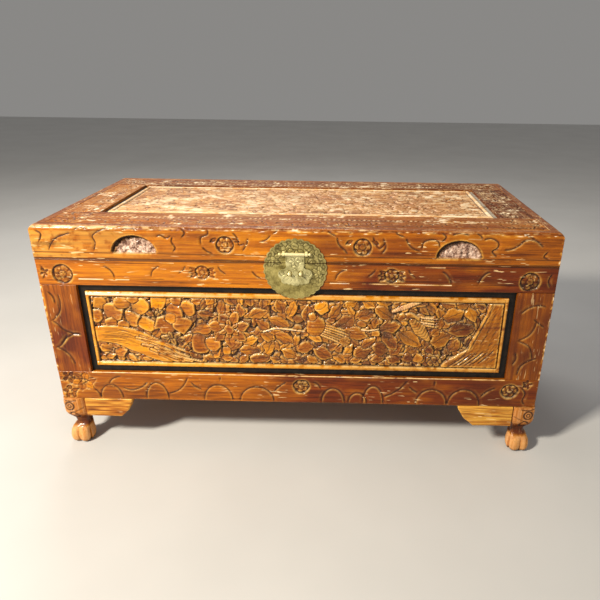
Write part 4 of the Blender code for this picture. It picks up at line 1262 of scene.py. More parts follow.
def edge_notches(r, seed):
    """Small chips and gouged dashes along the lid's rounded edge, with painted glints among them."""
    rng = np.random.default_rng(seed)
    u = r.u[0] + 6
    while u < r.u[-1] - 6:
        v = BEND + rng.uniform(2, 13)
        half, turn = rng.uniform(4, 9) / 2, rng.uniform(-35, 35)
        r.incise([toward(u, v, -half, turn), (u, v + 0.3), toward(u, v, half, turn)],
                 depth=rng.uniform(0.8, 1.8), width=1.1, slope=rng.uniform(2, 4))
        # Painted highlights: short glints low on the rounded edge.
        high = BEND + rng.uniform(1, 6)
        glint = np.exp(-((r.U - u) / rng.uniform(1, 9)) ** 2
                       - ((r.V - high) / rng.uniform(0.5, 1.2)) ** 2)
        r.glint_and_pale_wear = np.maximum(r.glint_and_pale_wear, rng.uniform(0.9, 2.1) * glint * (rng.random() > 0.3))
        u += 7.5 * rng.uniform(0.6, 1.5)


def lid_rail(u_span, step):
    """A plain lid rail, dark along the seam."""
    r = Relief(u_span, (LID_FOOT, LID_END), step, ease=1.5)
    seam_shade(r, r.v[0])
    return r


def round_ends(r, ends):
    """Round the top of a rail's ends as its long edge is rounded."""
    lift = np.clip((r.V - BEND) / (BEND_END - BEND), 0, 1)
    for end in ends:
        gap = np.clip(np.abs(r.U - end), 0, ROUND)
        drop = ROUND - np.sqrt(np.maximum(ROUND ** 2 - (ROUND - gap) ** 2, 0))
        r.h -= drop * np.sin(lift * math.pi / 2)


def half_moon(r, u, foot, half, height, seed):
    """A scooped half moon with a roughly tooled floor."""
    a, b = (r.U - u) / half, (r.V - foot) / height
    inside = (1 - np.hypot(a, b)) * height
    inside = np.where(b < 0, -1.0, inside)
    floor = -8.2 + 3.6 * np.clip(1 - b, 0, 1) ** 1.5
    rough = value_noise(r.U, r.V, 2.4, seed) + value_noise(r.U, r.V, 5.5, seed + 1)
    floor = floor + (rough - 1.0) * 2.6
    body = inside > 0
    wall = np.clip(inside / 1.2, 0, 1)
    r.h[body] = (floor * wall)[body]
    r.tone[body] = 0.95
    r.line[body] = 0
    # Painted shadow: a dark crescent inside the rim at the upper left, where the dust is held back.
    shade = 0.8 + 6.5 * np.clip(0.45 + 0.6 * b - 0.55 * a - 0.4 * rough, 0, 1)
    r.dust[body] = np.clip((inside - shade) / 2.2, 0, 1)[body]
    rim = np.clip((shade + 2.0 - inside) / 2.0, 0, 1) * (inside > -0.5)
    r.line = np.maximum(r.line, 0.92 * rim * (b > 0.06))


def rail_weather_and_sheen(r):
    """How much of the top's dry, dusty finish and painted sheen shows, up a lid rail."""
    r.weather_and_sheen = np.clip((r.V - BEND - 4.0) / 9.0, 0, 0.85)


def ledge(r):
    """The fine line over the lid's plain lower ledge."""
    cut = np.exp(-((r.V - 299.8) / 0.8) ** 2)
    r.h -= 0.8 * cut
    r.line = np.maximum(r.line, 0.75 * cut)


def lid_front():
    """Half moons, two rosettes and cloud brackets along the lid's front."""
    r = lid_rail(WALL, 1.4)
    for points in ([(-431, 303), (-424, 316), (-413, 326), (-398, 332), (-386, 335)],
                   [(-352, 302), (-347, 318), (-350, 330), (-338, 339), (-322, 345)],
                   [(-241, 330), (-232, 333), (-222, 328), (-212, 334)],
                   [(-211, 333), (-214, 322), (-209, 311), (-214, 303)],
                   [(-163, 316), (-162, 330), (-150, 336), (-150, 346)],
                   [(-163, 315), (-154, 306), (-142, 300)],
                   [(-108, 341), (-100, 331), (-97, 318), (-84, 322)],
                   [(-92, 306), (-83, 320), (-80, 332)],
                   [(-61, 323), (-48, 329), (-40, 338)],
                   [(72, 336), (76, 322), (86, 312), (92, 304)],
                   [(134, 338), (139, 324), (147, 316), (157, 326)],
                   [(150, 306), (157, 318), (152, 336)],
                   [(190, 336), (198, 322), (208, 315), (219, 312)],
                   [(219, 314), (222, 328), (234, 333), (246, 330), (250, 318)],
                   [(322, 334), (336, 337), (349, 330), (348, 320), (340, 314), (350, 303)],
                   [(359, 316), (374, 319), (386, 326), (394, 334), (411, 335), (428, 322)],
                   [(-300, 342), (-285, 345), (-270, 342)], [(268, 342), (284, 346), (300, 342)],
                   [(-381, 341), (-370, 346), (-357, 343)], [(-197, 347), (-190, 338), (-197, 329)],
                   [(56, 347), (63, 341), (72, 337)], [(172, 347), (178, 341), (190, 337)],
                   [(251, 347), (259, 338), (251, 329)], [(310, 347), (318, 341), (322, 334)],
                   [(392, 347), (402, 341), (412, 336)], [(-40, 338), (-32, 343), (-28, 349)],
                   [(436, 316), (430, 306), (440, 300)], [(-450, 340), (-440, 332), (-446, 318)]):
        r.incise(points, depth=2.1)
    for u, v, turn in ((-141, 326, 30), (-102, 326, 150), (94, 326, 30), (139, 326, 150)):
        r.leaf(u, v, 13, 6, turn, top=-1.2, tone=0.3)
    for u in (-121.5, 117):
        r.rosette(u, 317.5, 14.5, 6, 25)
    ledge(r)
    r.h *= np.clip((LID_END - r.V) / 4, 0, 1)
    edge_notches(r, 301)
    for k in range(46):
        rng = np.random.default_rng(400 + k)
        u, v = rng.uniform(-450, 450), rng.uniform(BEND_END, LID_END - 2)
        r.incise([(u - 6, v), (u, v + 1), (u + 6, v)], depth=0.9, width=0.9, slope=2.5)
    for u, seed in ((-281.5, 310), (284.5, 320)):
        half_moon(r, u, 300.5, 39.5, 31.5, seed)
    r.roughen(0.24, 8, 302)
    # Painted highlight: a pale glare along the rounded edge toward the left end.
    streak = np.exp(-((r.V - BEND - 6.5) / 3.2) ** 2) * np.clip((-200 - r.U) / 200, 0, 1) ** 0.6
    r.glint_and_pale_wear = np.maximum(r.glint_and_pale_wear, 2.1 * streak * value_noise(r.U / 2, r.V, 7, 303) ** 0.6)
    scuffs = value_noise(r.U / 3, r.V, 3.2, 306) * value_noise(r.U, r.V, 24, 307)
    scuffs = np.clip(scuffs * 5 - 2.1, 0, 1) * np.exp(-((r.V - BEND - 6) / 4) ** 2)
    r.glint_and_pale_wear = np.maximum(r.glint_and_pale_wear, 1.7 * scuffs)
    round_ends(r, WALL)
    rail_weather_and_sheen(r)
    middle = eased(r.U, -60, 60) * (1 - eased(r.U, 200, 330))
    r.darken(0.60 * middle * (r.V < BEND), 304)
    # Painted light: the front face paler toward its left end.
    bright = 0.95 * eased(-r.U, 170, 400) * (r.V < BEND)
    bright *= 0.4 + 0.6 * value_noise(r.U / 4, r.V, 5, 308)
    r.glint_and_pale_wear = np.where(r.line < 0.1, np.maximum(r.glint_and_pale_wear, bright), r.glint_and_pale_wear)
    edge = np.exp(-((r.V - BEND - 5.5) / 3.0) ** 2)
    r.stain_and_shade = np.maximum(r.stain_and_shade, 0.75 * edge * (0.5 + value_noise(r.U / 2, r.V, 9, 305)))
    r.wear_end(-1, 309)
    r.wear_end(1, 311)
    return r


def lid_side(u_span, ends, seed, clouds=True):
    """An end or back rail of the lid; ends are those whose top is rounded, as at a corner."""
    r = lid_rail(u_span, 1.6)
    rng = np.random.default_rng(seed)
    if clouds:
        u = u_span[0] + 24
        while u < u_span[1] - 60:
            wide = rng.uniform(34, 52)
            lobe(r, u, u + wide, rng.uniform(22, 32), 302)
            u += wide + rng.uniform(16, 30)
        r.rosette((u_span[0] + u_span[1]) / 2, 317.5, 14.5, 6, 25)
        ledge(r)
    r.h *= np.clip((LID_END - r.V) / 4, 0, 1)
    edge_notches(r, seed + 1)
    r.roughen(0.24, 8, seed + 2)
    round_ends(r, ends)
    rail_weather_and_sheen(r)
    return r


def rail_piece(node, r, place, finish, back_finish):
    """One rail of the lid in place of its plain CAD rail."""
    piece = board_mesh(node + "_carved", r, place, lid_back_corner(), finish, back_finish)
    return settle(piece, "lid", "frame_wood", node)


rail_piece("lid_front_rail", lid_front(), wrapped(-1, FRONT, "y"), FRAME_X, PLAIN_X)
rail_piece("lid_back_rail", lid_side(WALL, WALL, 330, clouds=False), wrapped(1, BACK, "y"),
           FRAME_X, PLAIN_X)
for end, sign in (("left", -1), ("right", 1)):
    node = f"lid_{end}_rail"
    rail_piece(node, lid_side(span(node, "y"), (), 340 + 5 * sign),
               wrapped(sign, sign * SIDE, "x"), FRAME_Y, PLAIN_Y)


# ---- the lid's top --------------------------------------------------------------------------
def face_top(depth0=0.0):
    """Places a top board's grid: u is world X and v world Y."""
    def place(u, v, depth):
        return np.stack(np.broadcast_arrays(u, v, TOP - depth0 - depth), -1)
    return place


def rope(r, v, u0, u1, seed):
    """A row of slanting gouges, like a twisted rope."""
    rng = np.random.default_rng(seed)
    pitch = 8.5
    while u0 < u1:
        j = rng.uniform(-0.6, 0.6)
        r.incise([(u0 - 1.6, v - 4.5 + j), (u0, v + j), (u0 + 1.6, v + 4.5 + j)],
                 depth=rng.uniform(1.6, 2.4), width=1.0, slope=3.2)
        # Painted highlight: a glint beside each gouge.
        bump = np.exp(-((r.U - u0 - 0.5 * pitch) / 1.7) ** 2 - ((r.V - v - j) / 3.2) ** 2)
        r.glint_and_pale_wear = np.maximum(r.glint_and_pale_wear, 1.9 * bump * rng.uniform(0.4, 1))
        u0 += pitch * rng.uniform(0.85, 1.15)


def squiggles(r, u0, u1, v0, v1, seed, count, length=(10, 22)):
    """Short curled gouges, as round a worn vine."""
    rng = np.random.default_rng(seed)
    for _ in range(count):
        u, v, turn = rng.uniform(u0, u1), rng.uniform(v0, v1), rng.uniform(0, 2 * math.pi)
        size, bend = rng.uniform(*length), rng.uniform(-1.4, 1.4)
        points = [(u, v)]
        for _ in range(3):
            u += size / 3 * math.cos(turn)
            v += size / 3 * math.sin(turn)
            turn += bend
            points.append((min(max(u, u0), u1), min(max(v, v0), v1)))
        r.incise(points, depth=rng.uniform(1.0, 2.2), width=1.1, slope=rng.uniform(2.5, 5))


SHADED_TOP = {"top_right_board": 0.80, "top_back_board": 0.45}


def top_board(node, seed, finish):
    """One flat board of the top, with its rope row and squiggles."""
    low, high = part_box(node)
    u_span, v_span = span(node, "x"), span(node, "y")
    r = Relief(u_span, v_span, 1.6, ease=1.2)
    opening = span("top_moulding", "x")
    if node in ("top_front_board", "top_back_board"):
        front = node == "top_front_board"
        row = v_span[1] - 33 if front else v_span[0] + 19
        rope(r, row, u_span[0] + 44, u_span[1] - 44, seed)
        for off in (-7.5, 7.5):
            r.h -= 0.8 * np.exp(-((r.V - row - off) / 0.8) ** 2)
        if front:
            squiggles(r, u_span[0] + 6, u_span[1] - 6, v_span[0] + 3, row - 12, seed + 1, 230)
            squiggles(r, u_span[0] + 60, u_span[1] - 60, row + 12, v_span[1] - 4, seed + 2, 40,
                      (5, 12))
        else:
            squiggles(r, u_span[0] + 6, u_span[1] - 6, row + 12, v_span[1] - 4, seed + 1, 190)
        for x0, x1 in ((u_span[0], opening[0]), (opening[1], u_span[1])):
            squiggles(r, x0 + 4, x1 - 4, v_span[0] + 4, v_span[1] - 4, seed + 3, 40)
    else:
        inner, away = (u_span[1], -1) if node == "top_left_board" else (u_span[0], 1)
        for x in (inner + away * 40, inner + away * 46):
            r.h -= 0.9 * np.exp(-((r.U - x) / 0.9) ** 2)
        a, b = sorted((inner + away * 5, inner + away * 35))
        squiggles(r, a, b, v_span[0] + 4, v_span[1] - 4, seed, 120)
        a, b = sorted((inner + away * 51, inner + away * 64))
        squiggles(r, a, b, v_span[0] + 4, v_span[1] - 4, seed + 1, 60, (5, 12))
    r.roughen(0.3, 8, seed + 4)
    r.soften_border(1.0)
    # The top's dry finish and painted sheen, less of both near the front edge.
    r.weather_and_sheen = 0.55 + 0.40 * value_noise(r.U, r.V, 40, seed + 5)
    if node == "top_front_board":
        r.weather_and_sheen *= np.clip(0.05 + (r.V - v_span[0]) / 80, 0, 1)
    if node in SHADED_TOP:
        r.darken(SHADED_TOP[node], seed + 6)
    # Painted light: the left board coloured lighter.
    if node == "top_left_board":
        r.tone += 0.20
    chalk = value_noise(r.U / 2.4, r.V, 3.4, seed + 7) * value_noise(r.U, r.V, 26, seed + 8)
    chalk = np.clip(chalk * 5 - 2.2, 0, 1)
    r.glint_and_pale_wear = np.maximum(r.glint_and_pale_wear, 1.6 * chalk)
    piece = board_mesh(node + "_carved", r, face_top(), flat_back(r, high[2] - low[2]), finish,
                       PLAIN_X if finish is TOP_X else PLAIN_Y)
    return settle(piece, "lid", "top_wood", node)


for k, (node, finish) in enumerate((("top_front_board", TOP_X), ("top_back_board", TOP_X),
                                    ("top_left_board", TOP_Y), ("top_right_board", TOP_Y))):
    top_board(node, 500 + 20 * k, finish)


def top_panel():
    """A garden like the front's, worn low and dusty."""
    low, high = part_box("top_panel")
    (x0, x1), (y0, y1) = span("top_panel", "x"), span("top_panel", "y")
    middle = (y0 + y1) / 2
    blossoms = [(-210, middle + 22, 36), (-62, middle - 30, 32), (96, middle + 24, 38),
                (238, middle - 26, 31), (-310, middle - 52, 22), (318, middle + 54, 24)]
    trunk = [(x0 + 6, y0 + 40), (x0 + 90, y0 + 52), (x0 + 190, y0 + 24), (x0 + 270, y0 + 18)]
    r = garden((x0, x1), (y0, y1), 1.5, 600, blossoms, trunk, ground=-5.0, beads=(8, 8, 8, 8))
    edge = np.minimum(np.minimum(r.U - x0, x1 - r.U), np.minimum(r.V - y0, y1 - r.V))
    field = np.clip((edge - 8) / 2, 0, 1)
    r.h = r.h * (1 - field) + blurred(0.66 * r.h, 0.5) * field
    r.line *= 1 - 0.75 * field
    # The top's dry finish and painted sheen over the panel.
    r.weather_and_sheen = 0.80 + 0.20 * value_noise(r.U, r.V, 50, 605)
    # Rubbed pale patches, their strongest parts a painted near-white glare.
    rubbed = value_noise(r.U / 2.6, r.V, 7, 606) * value_noise(r.U, r.V, 36, 607)
    rubbed = np.clip(rubbed * 4.5 - 0.9, 0, 1)
    r.glint_and_pale_wear = np.maximum(r.glint_and_pale_wear, 1.5 * rubbed * np.clip(1 + r.h / 3.0, 0, 1))
    piece = board_mesh("top_panel_carved", r, face_top(TOP - high[2]),
                       flat_back(r, high[2] - low[2]), TOP_PANEL, PLAIN_X)
    settle(piece, "lid", "top_wood", "top_panel")


top_panel()


# ---- metalwork ------------------------------------------------------------------------------
def thicken(bm, amount):
    """Give an open sheet a rim and a flat back.

    amount has the back's place on the axis across the sheet, and 0 on the others.
    """
    edges = [e for e in bm.edges if e.is_boundary]
    made = bmesh.ops.extrude_edge_only(bm, edges=edges)["geom"]
    verts = [g for g in made if isinstance(g, bmesh.types.BMVert)]
    rim = [g for g in made if isinstance(g, bmesh.types.BMEdge)]
    axis = max(range(3), key=lambda k: abs(amount[k]))
    for vert in verts:
        vert.co[axis] = amount[axis]
    bmesh.ops.holes_fill(bm, edges=[e for e in rim if e.is_boundary], sides=0)
    bmesh.ops.recalc_face_normals(bm, faces=bm.faces)
    for face in bm.faces:
        face.smooth = len(face.verts) < 5


def finish_mesh(name, bm, finish, sharp=40.0):
    """A linked object from a bmesh."""
    mesh = bpy.data.meshes.new(name)
    bm.to_mesh(mesh)
    bm.free()
    mesh.materials.append(finish)
    mesh.set_sharp_from_angle(angle=math.radians(sharp))
    obj = bpy.data.objects.new(name, mesh)
    bpy.context.scene.collection.objects.link(obj)
    return obj


def sampled(r, field, u, v):
    """A carving's height or mask at any points, between its grid lines."""
    i = np.clip(np.searchsorted(r.u, u) - 1, 0, len(r.u) - 2)
    j = np.clip(np.searchsorted(r.v, v) - 1, 0, len(r.v) - 2)
    s = np.clip((u - r.u[i]) / (r.u[i + 1] - r.u[i]), 0, 1)
    t = np.clip((v - r.v[j]) / (r.v[j + 1] - r.v[j]), 0, 1)
    low = field[j, i] * (1 - s) + field[j, i + 1] * s
    high = field[j + 1, i] * (1 - s) + field[j + 1, i + 1] * s
    return low * (1 - t) + high * t


def carry_masks(obj, r, centre):
    """Store a carving's masks on a mesh that lies in the front plane."""
    co = np.zeros(len(obj.data.vertices) * 3)
    obj.data.vertices.foreach_get("co", co)
    co = co.reshape(-1, 3)
    u, v = mm(co[:, 0] - centre[0]), mm(co[:, 2] - centre[1])
    for key, field in r.masks().items():
        store_mask(obj.data, key, sampled(r, field, u, v))


PLATE_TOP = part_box("lock_upper_plate")
PLATE_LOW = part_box("lock_lower_plate")
PLATE_R = (PLATE_LOW[1][0] - PLATE_LOW[0][0]) / 2
PLATE_Z = PLATE_LOW[0][2] + PLATE_R
PLATE_FACE = PLATE_TOP[0][1]
LOBES = 30                       # round the plate's edge


def lock_relief():
    """Flowers over the bar, leaf scrolls at the sides and a rubbed lower field."""
    r = Relief((-58, 58), (-58, 58), 0.62, level=-0.05, ground=-0.62)
    r.hand_cut(0.8, 5, 702)
    rho, angle = np.hypot(r.U, r.V), np.arctan2(r.V, r.U)

    def raised(u, v, length, width, turn):
        """A leaf in shallow relief, cut round."""
        where = r.near(u, v, length)
        a, b = r.local(where, u, v, turn)
        s = np.clip(a / length + 0.5, 0, 1)
        half = 0.5 * width * np.sin(np.pi * s) ** 0.75
        past = np.maximum(np.abs(a) - length / 2, 0)
        inside = np.where(past > 0, -np.hypot(past, b), half - np.abs(b))
        h = r.h[where]
        ring = (inside < 0) & (inside > -2.2)
        h[ring] = np.minimum(h[ring], (-0.62 * (1 + inside / 2.2))[ring] - 0.02)
        body = inside >= 0
        h[body] = (-0.30 * np.clip(1 - inside / 1.2, 0, 1) ** 2
                   - 0.26 * np.exp(-(b / 0.55) ** 2))[body]

    def bloom(u, v, size, petals, turn):
        """A flower head in shallow relief."""
        size = 1.3 * size
        for k in range(petals):
            a = turn + 360 * k / petals
            raised(*toward(u, v, 0.62 * size, a), size * 0.95, size * 0.62, a)
        where = r.near(u, v, size)
        a, b = r.local(where, u, v, 0)
        heart = np.hypot(a, b)
        h = r.h[where]
        h[heart < 0.3 * size] = -0.02
        h[np.abs(heart - 0.3 * size) < 0.5] = -0.5

    for u, v, size, count, turn in ((-20, 38, 11.5, 5, 0), (11, 39, 13, 5, 20),
                                    (-38, 19, 10.5, 5, 30), (36, 22, 11.5, 5, 0),
                                    (42, -6, 9.5, 5, 10), (33, -30, 11, 5, 25), (-42, -6, 7, 5, 5),
                                    (-34, -28, 6, 5, 15), (12, -43, 6, 5, 0)):
        bloom(u, v, size, count, turn)
    for u, v, length, turn in ((-8, 34, 13, 200), (10, 33, 12, -20), (-28, 33, 13, 140),
                               (30, 32, 12, 40), (-45, 10, 12, 80), (47, 10, 12, 100),
                               (30, 12, 13, 20), (-30, 12, 12, 160), (49, -15, 12, 70),
                               (30, -12, 13, -60), (26, -30, 12, -100), (44, -20, 10, 240),
                               (-24, 44, 9, 150), (28, 47, 9, 30), (-48, -18, 9, 110)):
        raised(u, v, length, 4.6, turn)
    for a in range(6, 366, 24):
        raised(*toward(0, 0, 50.2, a), 6.5, 3.2, a + 90)
    stipple = value_noise(r.U, r.V, 1.1, 700)
    r.h -= 0.10 * stipple * (r.h < -0.03)
    rubbed = np.clip(0.35 + (-r.V - 0.7 * r.U) / 45, 0, 0.72) * (r.V < 4)
    r.h *= 1 - rubbed
    scallop = np.abs(np.sin(LOBES * angle / 2))
    rim = 53.2 + 1.6 * scallop
    r.h = np.where(rho > rim - 1.6, -0.02 - 0.35 * np.exp(-((rho - rim + 1.4) / 0.5) ** 2), r.h)
    r.line = 0.98 * np.clip((-r.h - 0.12) / 0.28, 0, 1)
    r.h = 1.5 * r.h - 0.45 * np.clip((rho - rim) / 2.4, 0, 1) ** 2
    return r


LOCK_RELIEF = lock_relief()


def polar_sheet(radius_at, rings, steps, height_at, centre, face):
    """A disc in the front plane, its radius and height given by functions in metres."""
    bm = bmesh.new()
    loops = []
    for i in range(1, rings + 1):
        share = (i / rings) ** 0.92
        loops.append([(share * radius_at(2 * math.pi * k / steps), 2 * math.pi * k / steps)
                      for k in range(steps)])
    flat = np.array([[p * math.cos(a), p * math.sin(a)] for loop in loops for p, a in loop]
                    + [[0.0, 0.0]])
    heights = height_at(flat[:, 0], flat[:, 1])
    verts = [bm.verts.new((centre[0] + u, face - h, centre[1] + v))
             for (u, v), h in zip(flat, heights)]
    hub = verts[-1]
    for k in range(steps):
        bm.faces.new((hub, verts[k], verts[(k + 1) % steps]))
    for i in range(rings - 1):
        for k in range(steps):
            a, b = i * steps + k, i * steps + (k + 1) % steps
            bm.faces.new((verts[a], verts[a + steps], verts[b + steps], verts[b]))
    return bm


def plate_radius(angle):
    """The lobed outline of the lock plate."""
    return PLATE_R - 0.0022 * (1 - abs(math.sin(LOBES * angle / 2)))


def plate_height(u, v):
    """Engraving and a slight hand-beaten wave, never proud of the plate's face."""
    cut = sampled(LOCK_RELIEF, LOCK_RELIEF.h, mm(u), mm(v))
    wave = value_noise(mm(u), mm(v), 16, 701)
    return MM * (cut - 0.12 * wave)


def lock_plate(node, above, body):
    """The engraved plate, above or below the seam."""
    bm = polar_sheet(plate_radius, int(64 / QUICK), LOBES * (10 if QUICK == 1 else 6),
                     plate_height, (0, PLATE_Z), PLATE_FACE)
    limit = PLATE_TOP[0][2] if above else PLATE_LOW[1][2]
    bmesh.ops.bisect_plane(bm, geom=bm.verts[:] + bm.edges[:] + bm.faces[:], dist=1e-7,
                           plane_co=(0, 0, limit), plane_no=(0, 0, 1), clear_inner=above,
                           clear_outer=not above)
    thicken(bm, (0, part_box(node)[1][1], 0))
    obj = finish_mesh(node + "_engraved", bm, LOCK)
    carry_masks(obj, LOCK_RELIEF, (0, PLATE_Z))
    return settle(obj, body, "lock_brass", node)


lock_plate("lock_upper_plate", True, "lid")
lock_plate("lock_lower_plate", False, "body")


def hasp_relief():
    """Engraving of the hasp: a flower on its neck, curls in its cloud, scallops at its foot."""
    low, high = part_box("hasp")
    head = high[2]
    r = Relief(span("hasp", "x"), (mm(low[2] - head), 0), 0.5, ground=-0.6)
    for k in range(6):
        r.leaf(*toward(0, -17, 6.5, 60 * k, squash=5.5 / 6.5), 9, 6, 60 * k, top=-0.05,
               tilt=0.1, veins=False)
    r.h = np.where(r.h < -0.01, r.h * 0.4, r.h)
    for side in (-1, 1):
        for points in ([(side * 12, -10), (side * 14, -16), (side * 10, -21)],
                       [(side * 26, -33), (side * 28, -38), (side * 24, -43), (side * 19, -41),
                        (side * 20, -36), (side * 23, -37)],
                       [(side * 16, -30), (side * 20, -28.5), (side * 24, -29.5)],
                       [(side * 16, -47), (side * 20, -49), (side * 22, -53)]):
            r.incise(points, depth=0.6, width=0.8, slope=1.8)
    for k in range(7):
        r.incise([toward(0, -39, across, 20.7 * k - 152, squash=down / across)
                  for across, down in ((15, 10), (19, 13.5), (23, 17))],
                 depth=0.7, width=0.9, slope=2.2)
    for points in ([(-5, -34), (0, -30), (5, -34)], [(-4, -40), (0, -44), (4, -40)],
                   [(0, -46), (0, -50), (0, -53)]):
        r.incise(points, depth=0.6, width=0.8, slope=1.8)
    r.line = np.maximum(0.8 * r.line, 0.55 * np.clip((-r.h - 0.12) / 0.4, 0, 1))
    r.h = np.clip(1.4 * r.h, -0.9, 0)
    # Painted highlight: the hasp's knuckle coloured bright.
    r.glint_and_pale_wear = 1.4 * np.clip((r.V + 7.5) / 1.5, 0, 1)
    return r, head


def hasp_piece():
    """The hasp, refined from its CAD shape and engraved on its front."""
    bm = bmesh.new()
    bm.from_mesh(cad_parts["hasp"].data)
    low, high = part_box("hasp")
    pivot = high[2] - 0.003
    plate_top = low[2] + 0.02
    plate = [v.co.y for v in bm.verts if v.co.z < plate_top]
    middle, thick = (min(plate) + max(plate)) / 2, max(plate) - min(plate)
    staple_x = sum(span("staple_right", "x")) / 2 * MM
    for sign in (-1, 1):
        bridge = bmesh.ops.create_cube(bm, size=1.0)["verts"]
        bmesh.ops.scale(bm, verts=bridge, vec=(0.0105, thick, 0.0135))
        bmesh.ops.translate(bm, verts=bridge, vec=(sign * staple_x, middle, pivot - 0.0480))
    radius = 0.0042
    for k in range(6):
        off = k - 2.5
        place = Matrix.Translation((0.0072 * off, middle, pivot - 0.0548 + 0.0014 * abs(off)))
        bmesh.ops.create_cone(bm, cap_ends=True, segments=20, radius1=radius, radius2=radius,
                              depth=thick, matrix=place @ Matrix.Rotation(math.pi / 2, 4, "X"))
    rough_copy = finish_mesh("hasp_engraved", bm, LOCK)
    remesh = rough_copy.modifiers.new("fine", "REMESH")
    remesh.mode = "VOXEL"
    remesh.voxel_size = 0.00045 * QUICK
    graph = bpy.context.evaluated_depsgraph_get()
    fine = bpy.data.meshes.new_from_object(rough_copy.evaluated_get(graph))
    bpy.data.objects.remove(rough_copy, do_unlink=True)
    bm = bmesh.new()
    bm.from_mesh(fine)
    bmesh.ops.smooth_vert(bm, verts=bm.verts, factor=0.5, use_axis_x=True, use_axis_y=True,
                          use_axis_z=True)
    bm.normal_update()
    r, head = hasp_relief()
    front = min(v.co.y for v in bm.verts if v.co.z < plate_top)
    verts = list(bm.verts)
    cuts = sampled(r, r.h, mm(np.array([v.co.x for v in verts])),
                   mm(np.array([v.co.z for v in verts]) - head))
    for vert, cut in zip(verts, cuts):
        if vert.normal.y < -0.6 and vert.co.y < front + 0.0005:
            vert.co.y -= MM * cut
    for face in bm.faces:
        face.smooth = True
    obj = finish_mesh("hasp_engraved", bm, HASP, sharp=60)
    carry_masks(obj, r, (0, head))
    return settle(obj, "hasp", "lock_brass", "hasp")


hasp_piece()


def turned(name, profile, centre, turn_axis, finish):
    """A turned piece from (radius, distance along the axis) pairs in metres.

    Its axis starts upright and is turned a quarter round turn_axis.
    """
    bm = bmesh.new()
    steps, rings = 40, []
    for radius, along_axis in profile:
        if radius == 0:
            rings.append([bm.verts.new((0, 0, along_axis))])
        else:
            rings.append([bm.verts.new((radius * math.cos(a), radius * math.sin(a), along_axis))
                          for a in (2 * math.pi * k / steps for k in range(steps))])
    for upper, lower in zip(rings, rings[1:]):
        for k in range(steps):
            j = (k + 1) % steps
            corners = [upper[k % len(upper)], lower[k % len(lower)], lower[j % len(lower)],
                       upper[j % len(upper)]]
            bm.faces.new(list(dict.fromkeys(corners)))
    bmesh.ops.recalc_face_normals(bm, faces=bm.faces)
    bm.transform(Matrix.Translation(centre) @ Matrix.Rotation(math.pi / 2, 4, turn_axis))
    for face in bm.faces:
        face.smooth = True
    return finish_mesh(name, bm, finish, sharp=35)


def ball(radius, centre, start, end, steps=9):
    """Part of a circle's profile, between two angles from its pole."""
    return [(max(radius * math.sin(a), 0.0), centre + radius * math.cos(a))
            for a in np.linspace(math.radians(start), math.radians(end), steps)]


pin_low, pin_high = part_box("hasp_pin")
pin_half, pin_ball = (pin_high[0] - pin_low[0]) / 2, 0.82 * (pin_high[2] - pin_low[2]) / 2
neck = pin_half - 1.8 * pin_ball
pin_side = ball(pin_ball, pin_half - pin_ball, 0, 150) + [(0.0019, neck + 0.0004), (0.0015, neck)]
pin = turned("hasp_pin_polished", pin_side + [(p, -h) for p, h in reversed(pin_side)],
             (pin_low + pin_high) / 2, "Y", KNOB)
settle(pin, "lid", "lock_brass", "hasp_pin")
for end in ("left", "right"):
    low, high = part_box(f"staple_{end}")
    x, z = (low[0] + high[0]) / 2, (low[2] + high[2]) / 2
    head = (high[0] - low[0]) / 2
    reach = high[1] - low[1]
    shape = ball(head, reach - head, 0, 140) + [(0.0020, reach - 1.85 * head),
                                                (0.0021, 0.0022), (0.0030, 0.0010),
                                                (head, 0.0004), (head, 0.0), (0.0, 0.0)]
    knob = turned(f"staple_{end}_polished", shape, (x, high[1], z), "X", KNOB)
    settle(knob, "body", "lock_brass", f"staple_{end}")


def screw_head(name, x, face, z, turn):
    """A slotted countersunk screw in a hinge leaf, facing backward."""
    radius = 0.0030

    def height(u, v):
        """A low dome with a slot, in metres."""
        across = -u * math.sin(turn) + v * math.cos(turn)
        dome = 0.00035 * (1 - (u ** 2 + v ** 2) / radius ** 2)
        return -(dome - 0.0007 * (np.abs(across) < 0.00045))

    bm = polar_sheet(lambda angle: radius, 8, 32, height, (x, z), face)
    thicken(bm, (0, face - 0.0004, 0))
    return finish_mesh(name, bm, HINGE, sharp=30)


for end in ("left", "right"):
    for part, body, k in (("body_leaf", "body", -1), ("lid_leaf", "lid", 1)):
        low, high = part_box(f"{end}_hinge_{part}")
        middle = (low[0] + high[0]) / 2
        for i in (-1, 0, 1):
            z = SEAM + k * (0.0235 if i else 0.0160)
            screw = screw_head(f"{end}_hinge_{part}_screw_{i + 2}", middle + i * 0.0205,
                               BACK + 0.0019, z, 0.7 + 1.1 * i + k)
            settle(screw, body, "hinge_brass")


# ---- feet -----------------------------------------------------------------------------------
# a leg's depth below the carcass, how far it stands proud of the wall, and how far it reaches in
LEG_SECTIONS = np.array([
    (0.3, 3.5, 40.0), (8, 4.3, 40.6), (16, 4.4, 41.0), (24, 4.3, 41.2), (32, 3.5, 41.2),
    (38, 1.2, 40.6), (44, -3.0, 39.4), (52, -8.5, 37.0), (61, -10.5, 35.0), (66, -8.0, 35.4),
    (71, -2.0, 36.8), (78, 1.8, 38.0), (88, 3.4, 39.0), (96, 3.4, 39.0), (101, 2.0, 38.2),
    (104, -0.5, 36.6), (106, -3.5, 34.0),
])


